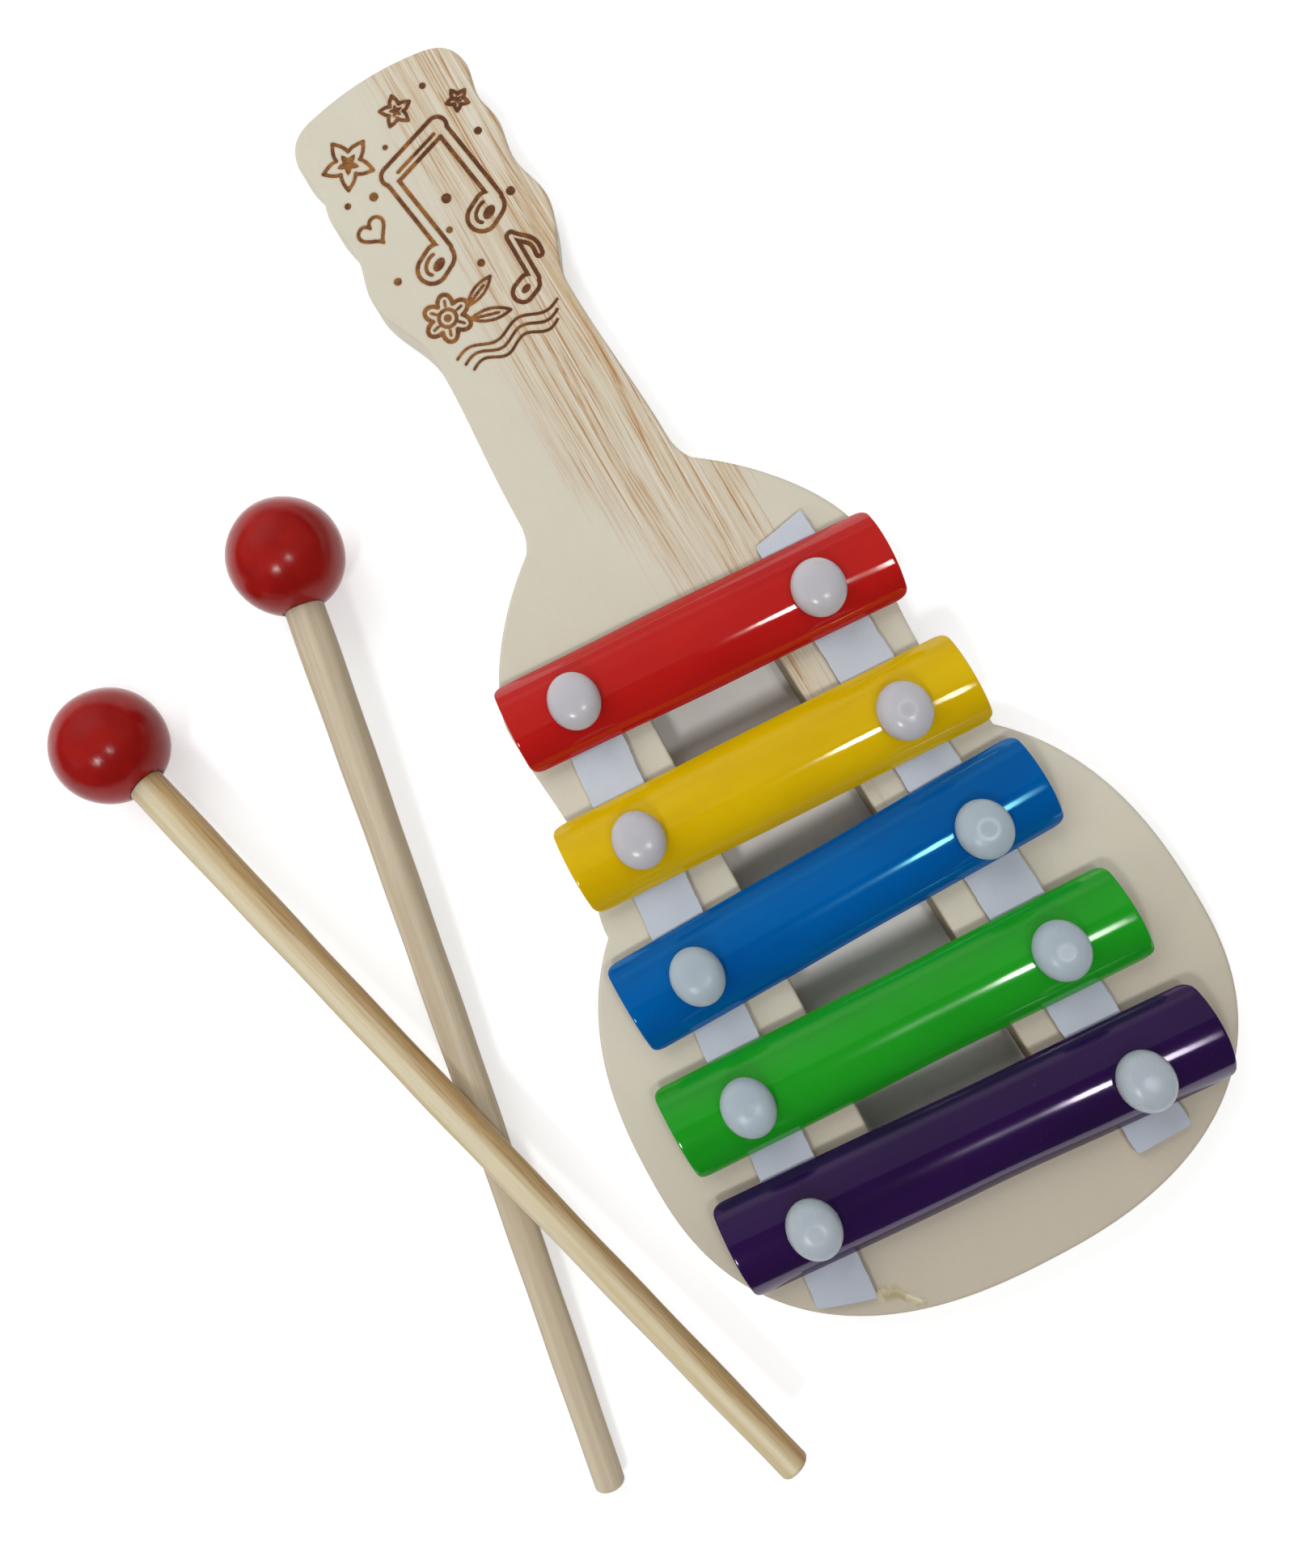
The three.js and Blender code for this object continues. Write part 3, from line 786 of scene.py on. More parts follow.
def stick_finish(name, light, shadow, heart):
    """Bare turned wood. Fibres run along the stick (own Z); heart is how strongly a golden brown
    band of heartwood shows along one side (own +X)."""
    f = Finish(f"{name}_stick_wood", Specular_IOR_Level=0.25)
    own = f.own()
    x = f.axes(own)[0]
    fibre = f.noise(own, (0.26, 0.26, 14.0), 3.0, 0.6, seed=heart * 3.0)
    thread = f.noise(own, (0.15, 0.15, 6.0), 2.0, 0.55, seed=4.0)
    rings = f.noise(own, (1.3, 1.3, 60.0), seed=heart * 5.0 + 1.0)
    base = f.mix(light, shadow, rings.rise(0.35, 0.68))
    wander = x + (rings - 0.5) * 1.2
    lines = fibre.rise(0.5, 0.62) * wander.rise(0.4, 1.8)
    pores = f.noise(own, (0.12, 0.12, 1.6), seed=6.0).rise(0.66, 0.78)
    base = f.lay(
        base,
        (deeper(shadow, 0.85), thread.rise(0.56, 0.74) * 0.35),
        ((184, 142, 78), wander.rise(0.3, 2.4) * heart * 0.75),
        ((142, 98, 50), lines * heart * 0.6),
        ((120, 88, 52), pores * 0.3),
    )
    base = f.shade(base, 0.95 + 0.08 * fibre)
    return f.dress(base, 0.6 - 0.1 * fibre, fibre + thread * 0.5 - pores, 0.02)


def ball_finish():
    """Red lacquer brushed over turned wood: an even film with faint grain under it, a few sunk
    specks, and small dark bare nicks by the hole (the number rim_mm is the distance from its
    edge)."""
    f = Finish("red_ball_lacquer", IOR=1.32)
    own = f.own()
    rim = f.number("rim_mm")
    film = f.noise(own, 5.0)
    grain = f.noise(own, (0.8, 0.8, 6.0), 3.0, 0.6, seed=2.0)
    brush = f.noise(own, (0.5, 0.5, 2.4), 2.0, 0.6, seed=8.0)
    base = f.mix((155, 22, 16), (143, 15, 12), film.rise(0.3, 0.72))
    ragged = rim + (f.noise(own, 1.1, 3.0, 0.7, seed=5.0) - 0.5) * 4.4
    nicks = ragged.rise(0.2, -0.1)
    specks = f.cells(own, 3.4).rise(0.05, 0.03)
    base = f.lay(
        base,
        ((124, 16, 15), grain.rise(0.58, 0.78) * 0.25),
        ((50, 16, 13), nicks * 0.85),
        ((96, 16, 14), rim.rise(0.5, 0.0) * 0.3),
        ((92, 12, 12), specks * 0.5),
    )
    roughness = 0.14 + 0.04 * film + 0.1 * brush + nicks * 0.3
    return f.dress(base, roughness, film * 0.9 + brush * 0.55 + grain * 0.3 - nicks * 0.9, 0.04)


# Engraving


BOLD, MIDDLING, THIN = 0.38, 0.33, 0.27
FAR_FROM_BURN = 4.0
GROOVE_DEPTH = 0.13
GLUE_HEIGHT = 0.22


def moved(x, y, tilt, centre):
    """A curve turned by tilt and then moved to centre."""
    return turned(np.column_stack([x, y]), tilt) + centre


def arc(centre, radii, start, end, steps=40, tilt=0.0):
    """Part of an ellipse: centre plus (a cos t, b sin t), turned by tilt; angles in degrees."""
    t = np.radians(np.linspace(start, end, steps))
    return moved(radii[0] * np.cos(t), radii[1] * np.sin(t), tilt, centre)


def star(centre, radius, tilt):
    """A five-pointed star whose sides bow inwards: r falls from radius at each tip to 0.46 of it
    half way between tips, along a power of the angle's distance from the tip."""
    t = np.linspace(0, 2 * np.pi, 101)
    away = np.abs((t * 5 / (2 * np.pi) + 0.5) % 1 - 0.5) * 2
    r = radius * (1 - 0.54 * away**0.8)
    return moved(r * np.sin(t), r * np.cos(t), tilt, centre)


def flower(centre, radius, petals, tilt):
    """A flower's outline: r is radius times 0.62 + 0.38 |sin(petals t / 2)|."""
    t = np.linspace(0, 2 * np.pi, 181)
    r = radius * (0.62 + 0.38 * np.abs(np.sin(petals * t / 2)))
    return moved(r * np.sin(t), r * np.cos(t), tilt, centre)


def heart(centre, size, tilt):
    """A heart's outline: (16 sin^3 t, 13 cos t - 5 cos 2t - 2 cos 3t - cos 4t) / 16 times size."""
    t = np.linspace(0, 2 * np.pi, 91)
    x = 16 * np.sin(t) ** 3
    y = 13 * np.cos(t) - 5 * np.cos(2 * t) - 2 * np.cos(3 * t) - np.cos(4 * t)
    return turned(np.column_stack([x, y]) * size / 16, tilt) + centre


def engraved_lines():
    """The burnt design on the head: strokes (line, half-width), filled outlines, and blown-up shapes,
    each a list of (line, radius) whose joined outline is drawn. It shows a pair of joined notes, a
    single note, stars, a heart, a flower with leaves, some dots and three rippling lines."""
    strokes, fills, blown = [], [], []
    turn, middle = 8.0, np.array([0.8, 76.3])

    def place(points):
        return turned(np.asarray(points, float), turn) + middle

    pair = [
        (place([(-7.5, -8.2), (-5.5, -7.5)]), 2.55),
        (place([(4.4, -6.6), (6.4, -5.9)]), 2.55),
        (place([(-3.7, -7.0), (-3.7, 9.4)]), 0.95),
        (place([(8.2, -5.4), (8.2, 11.0)]), 0.95),
        (place([(-3.3, 9.2), (7.8, 10.8)]), 1.7),
    ]
    blown.append(pair)
    strokes.append((place([(-2.0, 8.9), (6.6, 10.1)]), MIDDLING))
    for head in ((-6.5, -7.85), (5.4, -6.25)):
        strokes.append((place(arc(head, (2.1, 1.45), 60, 200, 24, 20)), MIDDLING))
        fills.append(place(arc(np.add(head, (0.3, -0.5)), (1.35, 0.85), 0, 360, 30, 20)))
    single = np.array([6.4, 55.8])
    flag = pull(single + [(2.2, 9.2), (3.2, 7.4), (5.4, 7.2), (4.7, 4.0)], 16)
    blown.append(
        [
            (single + [(-0.8, -0.3), (0.7, 0.3)], 1.75),
            (single + [(2.0, 0.6), (2.0, 9.0)], 0.7),
            (np.vstack([single + (2.2, 9.2), flag]), 0.55),
        ]
    )
    fills.append(arc(single + (-0.1, -0.1), (0.95, 0.6), 0, 360, 24, 20))
    stars = (((-9.0, 90.8), 4.6, 8), ((2.4, 94.3), 2.8, -14), ((12.3, 90.2), 2.0, 6))
    for centre, radius, tilt in stars:
        strokes.append((star(np.array(centre), radius, tilt), MIDDLING))
        fills.append(star(np.array(centre), 0.45 * radius, tilt))
    strokes.append((heart(np.array((-11.0, 78.2)), 2.5, 14), MIDDLING))
    bloom = np.array([-7.4, 58.4])
    strokes.append((flower(bloom, 4.1, 6, 12), BOLD))
    strokes.append((arc(bloom, (1.5, 1.5), 0, 360, 36), MIDDLING))
    fills.append(arc(bloom, (0.7, 0.7), 0, 360, 24))
    for ray in range(6):
        way = turned((0.0, 1.0), 42 + 60 * ray)
        strokes.append((np.array([bloom + 2.1 * way, bloom + 3.0 * way]), THIN))
    for root, tip, belly in (((-4.2, 56.2), (2.4, 54.0), 2.0), ((-3.6, 58.4), (2.2, 60.8), -1.8)):
        root, tip = np.array(root), np.array(tip)
        side = turned((tip - root) / np.linalg.norm(tip - root), 90) * belly
        for sign in (1, -1):
            leaf = pull([root, (root + tip) / 2 + sign * side, tip], 16)
            strokes.append((np.vstack([root, leaf]), THIN))
        strokes.append((np.array([root, root + 0.7 * (tip - root)]), THIN))
    t = np.linspace(0, 1, 60)
    for level, reach in ((51.4, 9.6), (49.9, 8.8), (48.4, 8.0)):
        ripple = np.column_stack([0.2 + (2 * t - 1) * reach, level + 0.75 * np.sin(4 * np.pi * t)])
        strokes.append((ripple, THIN))
    dots = (
        *((-12.6, 84.4, 0.6), (-8.0, 83.4, 0.8), (12.6, 83.6, 0.7), (8.4, 95.6, 0.6)),
        *((-11.6, 68.4, 0.7), (12.2, 71.6, 0.8), (2.0, 63.6, 0.7), (-2.2, 89.8, 0.5)),
        *((2.4, 76.4, 0.9), (0.2, 71.4, 0.6)),
    )
    for x, y, radius in dots:
        fills.append(arc(np.array((x, y)), (radius, radius), 0, 360, 24))
    return strokes, fills, blown


def burn_distance(points):
    """Signed distance in plan from the edge of the burnt lines, negative on them: the least, over
    the strokes, of the distance to the line less its half-width, over the filled outlines of the
    distance to the outline, taken as negative inside, and over the blown-up shapes of how far the
    joined outline of their parts is, less the half-width of a bold line."""
    best = np.full(len(points), FAR_FROM_BURN)
    strokes, fills, blown = engraved_lines()
    for line, half in strokes:
        best = np.minimum(best, near(points, line) - half)
    for outline in fills:
        apart = near(points, outline)
        best = np.minimum(best, np.where(inside(points, [outline[:-1]]), -apart, apart))
    for parts in blown:
        edge = np.min([near(points, line) - radius for line, radius in parts], axis=0)
        best = np.minimum(best, np.abs(edge) - BOLD)
    return best


GLUE_LINE = pull([(-25.6, -112.4), (-23.0, -112.6), (-21.8, -114.6), (-19.8, -116.9)], 14)
GLUE_DROP = np.array([[-24.6, -113.0], [-22.8, -113.6]])


def glue_amount(points):
    """1 on the middle line of the smear, falling with the square of the distance from it, and more
    slowly round the drop at its upper end."""
    smear = np.exp(-((near(points, GLUE_LINE) / 0.75) ** 2))
    return np.maximum(smear, 0.8 * np.exp(-((near(points, GLUE_DROP) / 1.3) ** 2)))


HEAD_WINDOW = ((-15.5, 46.0), (15.5, 97.5))
GLUE_WINDOW = ((-29.0, -119.0), (-16.0, -109.5))


def within(points, window, margin=0.0):
    """Whether points lie inside a window in plan."""
    low, high = np.array(window[0]) - margin, np.array(window[1]) + margin
    return ((points >= low) & (points <= high)).all(1)


def board_relief(x, y):
    """Height added to the board's face: engraved lines are grooves, and glue stands proud."""
    points = np.column_stack([x, y])
    height = np.zeros(len(points))
    head = within(points, HEAD_WINDOW)
    height[head] = -GROOVE_DEPTH * smooth(-burn_distance(points[head]), -0.1, 0.22)
    smear = within(points, GLUE_WINDOW)
    height[smear] += GLUE_HEIGHT * glue_amount(points[smear])
    return height


# Pieces


def make_board():
    """The board: a plate in the guitar's outline with the slot through it and a blind hole for each
    pin. Points lie close together where the face is engraved or smeared with glue."""
    outline = board_outline()
    low, high = (BOARD_LENGTH * (share - ORIGIN_SHARE) for share in SLOT_SHARES)
    ends = ((-SLOT_HALF_BOTTOM, low), (-SLOT_HALF_TOP, high), (SLOT_HALF_TOP, high), (SLOT_HALF_BOTTOM, low))
    slot = rounded(ends, SLOT_CORNER)
    coarse = lattice(outline.min(0), outline.max(0), 4.0)
    coarse = coarse[~within(coarse, HEAD_WINDOW, 0.5) & ~within(coarse, GLUE_WINDOW, 0.5)]
    inner = np.vstack([coarse, lattice(*HEAD_WINDOW, 0.24), lattice(*GLUE_WINDOW, 0.4)])
    pits = [
        (circle(place, PIN_SHANK + SEAT_GAP), PIN_FLOOR) for bar in BARS for place in pin_places(bar)
    ]
    shell = plate(
        outline, [slot], 0.0, BOARD_THICKNESS, EDGE_ROUNDING, inner, pits, relief=board_relief
    )
    points = shell.points()
    plan = points[:, :2]
    burn = np.full(len(points), FAR_FROM_BURN)
    glue = np.zeros(len(points))
    face = points[:, 2] > BOARD_THICKNESS - 0.5
    head = face & within(plan, HEAD_WINDOW)
    burn[head] = burn_distance(plan[head])
    smear = face & within(plan, GLUE_WINDOW)
    glue[smear] = glue_amount(plan[smear])
    wood = board_finish()
    make_piece(
        "sanded_board", points, shell, "base", "board", "board_wood", wood, burn_mm=burn, glue=glue
    )


def strip_corners(strip):
    """The four corners of a foam strip in plan, anticlockwise from the lower left."""
    _, row, beyond, shifts, skews = strip
    ends = [pin_places(BARS[-1])[row], pin_places(BARS[0])[row]]
    ends = [end + [FOAM_WIDTH * shift, 0] for end, shift in zip(ends, shifts)]
    along = (ends[1] - ends[0]) / np.linalg.norm(ends[1] - ends[0])
    side = np.array([along[1], -along[0]])

    def corner(end, sign):
        reach = (-1, 1)[end] * BOARD_LENGTH * beyond[end]
        skew = sign / 2 * FOAM_WIDTH * skews[end]
        return ends[end] + along * (reach + skew) + side * sign * FOAM_WIDTH / 2

    return [corner(0, -1), corner(0, 1), corner(1, 1), corner(1, -1)]


def make_strip(strip, finish):
    """A foam strip: a plate with a hole for each pin, whose sides were cut a little unevenly, and
    whose upper face swells by a few hundredths between the bars."""
    name, row = strip[:2]
    outline = rounded(strip_corners(strip), FOAM_CORNER, 6)
    wave = 0.05 * np.sin(outline[:, 1] * 0.9) + 0.04 * np.sin(outline[:, 1] * 2.3 + 1)
    outline = outline + outward(outline) * (wave - 0.05)[:, None]
    places = [pin_places(bar)[row] for bar in BARS]
    holes = [circle(place, PIN_SHANK + SEAT_GAP) for place in places]
    inner = lattice(outline.min(0), outline.max(0), 0.8)
    lines = np.array([bar_middle(bar)[1] for bar in BARS])

    def swell(x, y):
        away = np.abs(y[:, None] - lines[None, :]).min(1)
        lumps = np.sin(x * 1.3 + y * 0.7) * np.sin(y * 0.53 - x * 0.4)
        return FOAM_SWELL * smooth(away, 6.5, 9.5) + 0.02 * lumps - FOAM_SWELL

    shell = plate(
        outline, holes, BOARD_THICKNESS, FOAM_TOP, FOAM_ROUNDING, inner, lip=0.1, relief=swell
    )
    piece = make_piece(
        f"foam_tape_{name}", shell.points(), shell, "base", f"foam_strip_{name}", "foam", finish
    )


def bar_shape():
    """The arch of the bars' section: outer radius, inner radius, height of their centre, and half
    the angle that the outer and the inner face span."""
    half = BAR_WIDTH / 2 + BAR_SPREAD
    outer = (half**2 + BAR_RISE**2) / (2 * BAR_RISE)
    inner = outer - BAR_THICKNESS
    middle = BAR_TOP - outer
    return outer, inner, middle, math.asin(half / outer), math.acos((BAR_BOTTOM - middle) / inner)


def trimmed(x, share, colour, end):
    """Moves the last few millimetres of a bar's flat plate so that its ends stand as they were cut:
    each end follows the parabola through its lower, middle and upper place in BAR_ENDS."""
    low, middle, high = (np.where(x < 0, *pair) for pair in zip(*BAR_ENDS[colour]))
    reach = middle + (high - low) / 2 * share + ((high + low) / 2 - middle) * share**2
    zone = np.clip((np.abs(x) - end + BAR_END_ZONE) / BAR_END_ZONE, 0, 1)
    return x + np.sign(x) * reach * zone


def make_bar(bar, finish):
    """A tone bar: a flat plate with rounded corners and two holes, bent round the arch. A point at
    (x, s, h) of the flat plate goes to radius inner + h at the angle s / half-width times the span
    at that height, so the long edges end level with the foam. Between the holes the sheet has the
    faint swelling or hollow of BAR_SWELLS, a bell curve along x that is added to the radius."""
    colour, length, tilt = bar[:3]
    outer, inner_radius, middle, outer_span, inner_span = bar_shape()
    half = outer * outer_span
    end = length / 2
    outline = rounded([(end, -half), (end, half), (-end, half), (-end, -half)], BAR_CORNER, 10)
    slack = BAR_PLAY - SEAT_GAP
    places = pin_offsets(bar)
    places[:, 1] -= np.clip(places[:, 1], -slack, slack)
    places[:, 1] = np.arcsin(places[:, 1] / outer) * outer
    holes = [circle(place, PIN_SHANK + BAR_PLAY) for place in places]
    inner = lattice((-end, -half), (end, half), (1.6, 0.6))
    shell = plate(outline, holes, 0.0, BAR_THICKNESS, BAR_ROUNDING, inner, lip=0.25)
    flat = shell.points()
    x, s, h = flat.T
    x = trimmed(x, s / half, colour, end)
    angle = s / half * (inner_span + (outer_span - inner_span) * h / BAR_THICKNESS)
    place, swell = BAR_SWELLS[colour]
    radius = inner_radius + h + swell * np.exp(-(((x - place) / BAR_SWELL_WIDTH) ** 2) / 2)
    plan = turned(np.column_stack([x, radius * np.sin(angle)]), tilt) + bar_middle(bar)
    points = np.column_stack([plan, middle + radius * np.cos(angle)])
    name = f"painted_bar_{colour}"
    make_piece(name, points, shell, f"{colour}_bar", f"bar_{colour}", f"paint_{colour}", finish, flat)


def make_pin(name, place, tilt, finish):
    """A moulded pin: a low dome, a softly rounded rim, a flat underside and a plain shank. The dome's
    section is a superellipse, |r|^p + |h|^p = 1, and its plan is stretched into an oval across the
    bar. The moulding ring on its crown is a small ridge round a dimple."""
    size, mark = MOULD_RINGS.get(name, (1.3, 0.0))
    angle = np.linspace(np.pi / 2, 0, 36)
    share = np.cos(angle) ** (2 / PIN_DOME_POWER)
    rise = np.sin(angle) ** (2 / PIN_DOME_POWER)
    middle = sum(PIN_HEAD) / 2
    radius = middle * share
    ridge = np.exp(-(((radius - size) / 0.3) ** 2))
    dimple = np.exp(-((radius / (0.72 * size)) ** 4))
    crown = mark * (MOULD_HEIGHT * ridge - MOULD_HEIGHT * dimple) - MOULD_HEIGHT * mark
    height = PIN_WIDEST + (PIN_APEX - PIN_WIDEST) * rise + crown
    curl = np.linspace(0, -np.pi / 2, 7)[1:]
    drop = PIN_WIDEST - PIN_UNDERSIDE
    rim_radius = middle - drop + drop * np.cos(curl)
    rim_height = PIN_WIDEST + drop * np.sin(curl)
    tip = PIN_FLOOR + SEAT_GAP
    profile = [
        *zip(radius, height),
        *zip(rim_radius, rim_height),
        (PIN_SHANK + PIN_FILLET, PIN_UNDERSIDE),
        (PIN_SHANK, PIN_UNDERSIDE - PIN_FILLET),
        (PIN_SHANK, tip + PIN_TIP_BEVEL),
        (PIN_SHANK - PIN_TIP_BEVEL, tip),
        (0.0, tip),
    ]
    shell = lathe(profile, 56)
    own = shell.points()
    away = np.hypot(own[:, 0], own[:, 1])
    stretch = np.array(PIN_HEAD) / middle - 1
    oval = 1 + stretch * smooth(away, PIN_SHANK + PIN_FILLET, middle)[:, None]
    plan = turned(own[:, :2] * oval, tilt) + place
    seed = sum(map(ord, name)) % 23
    upper = own[:, 2] > PIN_WIDEST
    # where the finish paints a highlight on the ring's ridge and shade in its dimple
    ring = np.exp(-(((away - size) / 0.42) ** 2)) - 0.8 * np.exp(-((away / (0.66 * size)) ** 4))
    ring = mark * ring * upper
    # each bar's share of the darker, cool grey: painted light for the bar's colour through the plastic and
    # the weaker light towards the tail
    cool = np.full(len(own), PIN_PAINTED_TINT[name.split("_")[0]])
    points = np.column_stack([plan, own[:, 2]])
    own = own + [seed * 9.0, seed * 5.0, 0]
    piece, node = f"moulded_pin_{name}", f"pin_{name}"
    make_piece(piece, points, shell, "base", node, "pin_plastic", finish, own, ring=ring, cool=cool)


def mallet_axes():
    """For each mallet: its ball's middle and a matrix whose columns are the stick's own X, Y and Z,
    Z pointing from the ball to the tail. The lower stick's tail lies on the table; the upper stick
    lies on the lower one where they cross, the seat gap above it."""
    lower, upper = MALLETS
    starts = [board_point((m[2][1], m[2][0])) for m in MALLETS]
    ways = [turned((0, -1), m[3]) for m in MALLETS]
    apart = starts[1] - starts[0]

    def cross(a, b):
        return a[0] * b[1] - a[1] * b[0]

    lower_reach = cross(apart, ways[1]) / cross(ways[0], ways[1])
    upper_reach = cross(apart, ways[0]) / cross(ways[0], ways[1])
    rise = (STICK_TAIL - BALL_RADIUS) / lower[1]
    start = BALL_RADIUS - STICK_SEAT

    def radius(mallet, reach):
        share = (reach - start) / (mallet[1] - start)
        return STICK_HEAD + (STICK_TAIL - STICK_HEAD) * share

    lift = radius(lower, lower_reach) + radius(upper, upper_reach) + SEAT_GAP
    rises = (rise, (rise * lower_reach + lift) / upper_reach)
    axes = []
    for begin, way, slope in zip(starts, ways, rises):
        along = np.array([*way, slope])
        along /= np.linalg.norm(along)
        across = np.array([along[1], -along[0], 0])
        across /= np.linalg.norm(across)
        columns = np.column_stack([-across, np.cross(along, -across), along])
        axes.append((np.array([*begin, BALL_RADIUS]), columns))
    return axes


def make_stick(mallet, middle, axes, finish):
    """A turned stick. Its radius falls evenly from head to tail with a slow ripple of a few
    hundredths, its tail is an elliptic dome, and it bows sideways as half a sine wave."""
    name, reach, _, _, bow = mallet
    start = BALL_RADIUS - STICK_SEAT
    thick = STICK_THICKER[name]
    reach = reach - STICK_SHORTER
    along = np.linspace(start, reach - STICK_CROWN, 90)
    share = (along - start) / (reach - start)
    radius = STICK_HEAD * thick + (STICK_TAIL - STICK_HEAD * thick) * share
    ripple = np.sin(along * 0.11 + len(name)) + np.sin(along * 0.31 + 2 + bow)
    radius = radius + 0.035 * ripple - 0.03
    crown = np.linspace(0, np.pi / 2, 10)[1:]
    dome = [(radius[-1] * math.cos(a) ** 0.5, along[-1] + STICK_CROWN * math.sin(a)) for a in crown[:-1]]
    profile = [(0.0, along[0]), (radius[0] - 0.4, along[0]), *zip(radius[1:], along[1:]), *dome]
    profile.append((0.0, reach))
    shell = lathe([(r, -a) for r, a in profile], 40)
    own = shell.points() * [1, -1, -1]
    shift = bow * np.sin(np.pi * np.clip((own[:, 2] - start) / (reach - start), 0, 1))
    bent = own + np.column_stack([shift, 0 * shift, 0 * shift])
    points = bent @ axes.T + middle
    piece, body, node = f"turned_stick_{name}", f"{name}_mallet", f"mallet_{name}_stick"
    make_piece(piece, points, shell, body, node, "stick_wood", finish, own)


def make_ball(mallet, middle, axes, finish):
    """A turned ball, a sphere with slow dents of a tenth of a millimetre, bored along the stick's
    axis. The bore's mouth is a quarter circle, and its floor is flat."""
    name = mallet[0]
    bore = STICK_HEAD * STICK_THICKER[name] - BORE_TIGHTER
    edge = math.asin((bore + BORE_MOUTH) / BALL_RADIUS)
    angle = np.linspace(0, np.pi - edge, 60)
    radius = BALL_RADIUS * np.sin(angle)
    height = BALL_RADIUS * np.cos(angle)
    quarter = np.linspace(0, np.pi / 2, 6)[1:]
    brink = height[-1]
    mouth_radius = bore + BORE_MOUTH * (1 - np.sin(quarter))
    mouth_height = brink + BORE_MOUTH * (1 - np.cos(quarter))
    floor = STICK_SEAT - BALL_RADIUS + SEAT_GAP
    wall = np.linspace(brink + BORE_MOUTH, floor, 8)[1:]
    profile = [
        (0.0, BALL_RADIUS),
        *zip(radius[1:], height[1:]),
        *zip(mouth_radius, mouth_height),
        *zip(np.full(len(wall), bore), wall),
        (0.0, floor),
    ]
    shell = lathe(profile, 72)
    own = shell.points()
    far = np.linalg.norm(own, axis=1) > BALL_RADIUS - 0.4
    unit = own / np.linalg.norm(own, axis=1)[:, None].clip(1e-6)
    a, b, c = unit.T
    lumps = np.sin(4 * a + 2 * b) * np.sin(3 * c + len(name))
    dents = 0.09 + 0.06 * lumps + 0.02 * np.sin(11 * b + 7 * c)
    shaped = own * (1 - np.where(far, dents, 0.0) / BALL_RADIUS)[:, None]
    plan = np.hypot(own[:, 0], own[:, 1])
    rim = np.where(own[:, 2] < -5, np.abs(plan - bore - BORE_MOUTH), 9.0)
    seed = 0.0 if name == "lower" else 40.0
    points = (shaped * [1, -1, -1]) @ axes.T + middle
    piece, body, node = f"painted_ball_{name}", f"{name}_mallet", f"mallet_{name}_ball"
    own = own + [seed, 0, 0]
    make_piece(piece, points, shell, body, node, "ball_paint", finish, own, rim_mm=rim)


make_board()
foam = foam_finish()
for strip in STRIPS:
    make_strip(strip, foam)

# for each bar: the paint's colour, its deeper colour, its roughness, the tint of its gloss, its index
PAINTS = {
    "red": ((183, 25, 21), (175, 19, 17), 0.07, (1.0, 0.85, 0.8, 1.0), 1.5),
    "yellow": ((214, 177, 2), (204, 165, 1), 0.075, (1.0, 1.0, 0.75, 1.0), 1.48),
    "blue": ((0, 87, 160), (0, 78, 148), 0.095, (0.28, 0.9, 1.0, 1.0), 1.52),
    "green": ((27, 153, 29), (21, 142, 24), 0.115, (0.82, 1.0, 0.78, 1.0), 1.62),
    "purple": ((39, 12, 65), (32, 9, 55), 0.11, (0.9, 0.78, 1.0, 1.0), 1.62),
}
plastic = pin_finish()
for number, bar in enumerate(BARS):
    make_bar(bar, paint_finish(bar[0], *PAINTS[bar[0]], seed=11.0 * number + 3.0))
    for side, place in zip(("left", "right"), pin_places(bar)):
        make_pin(f"{bar[0]}_{side}", place, bar[2], plastic)

lacquer = ball_finish()
STICK_WOODS = (
    ((204, 190, 165), (188, 173, 147), 0.06),
    ((216, 204, 175), (203, 185, 144), 0.9),
)
for mallet, (middle, axes), wood in zip(MALLETS, mallet_axes(), STICK_WOODS):
    make_stick(mallet, middle, axes, stick_finish(mallet[0], *wood))
    make_ball(mallet, middle, axes, lacquer)


# Stage, lamps and camera


def make_floor():
    """A wide white table. What the camera, a mirror or glass sees of it is lifted towards white, but not
    inside the slot, where only the light that falls through the bars shows it. There it is painted a warmer
    white, painted light for light bounced off the wood."""
    mesh = bpy.data.meshes.new("white_table")
    signs = ((-1, -1), (1, -1), (1, 1), (-1, 1))
    corners = [(x * FLOOR_REACH, y * FLOOR_REACH, -FLOOR_DROP) for x, y in signs]
    mesh.from_pydata(corners, [], [(0, 1, 2, 3)])
    f = Finish("white_table", Roughness=0.6, Specular_IOR_Level=0.2)
    place = f.node("ShaderNodeTexCoord", {}, {}, "Object")
    x, y, _ = f.axes(place)
    slot = abs(x).rise(0.016, 0.013) * y.rise(-0.103, -0.096) * y.rise(-0.006, -0.014)
    far = (x * x + y * y).rise(0.05, 0.6)
    cloth = f.noise(place, 0.004)
    # painted light: inside the slot the table is warmer, as if lit by light bounced off the wood
    bare = f.mix((0.82, 0.8, 0.76, 1.0), (0.9, 0.88, 0.84, 1.0), cloth)
    colour = f.mix((0.76, 0.76, 0.76, 1.0), bare, slot)
    f.link(colour, f.shader, "Base Color")
    camera, glossy, through = f.rays("Is Camera Ray", "Is Glossy Ray", "Is Transmission Ray")
    lit = camera.most(glossy).most(through)
    strength = lit * (1 - slot) * (FLOOR_GLOW + FAR_GLOW * far)
    glow = f.node("ShaderNodeEmission", {}, {"Color": WHITE, "Strength": strength})
    both = f.node("ShaderNodeAddShader", {}, {0: Wire(f, f.shader.outputs[0]), 1: glow})
    f.link(both, f.out, "Surface")
    mesh.materials.append(f.material)
    floor = bpy.data.objects.new("white_table", mesh)
    bpy.context.scene.collection.objects.link(floor)


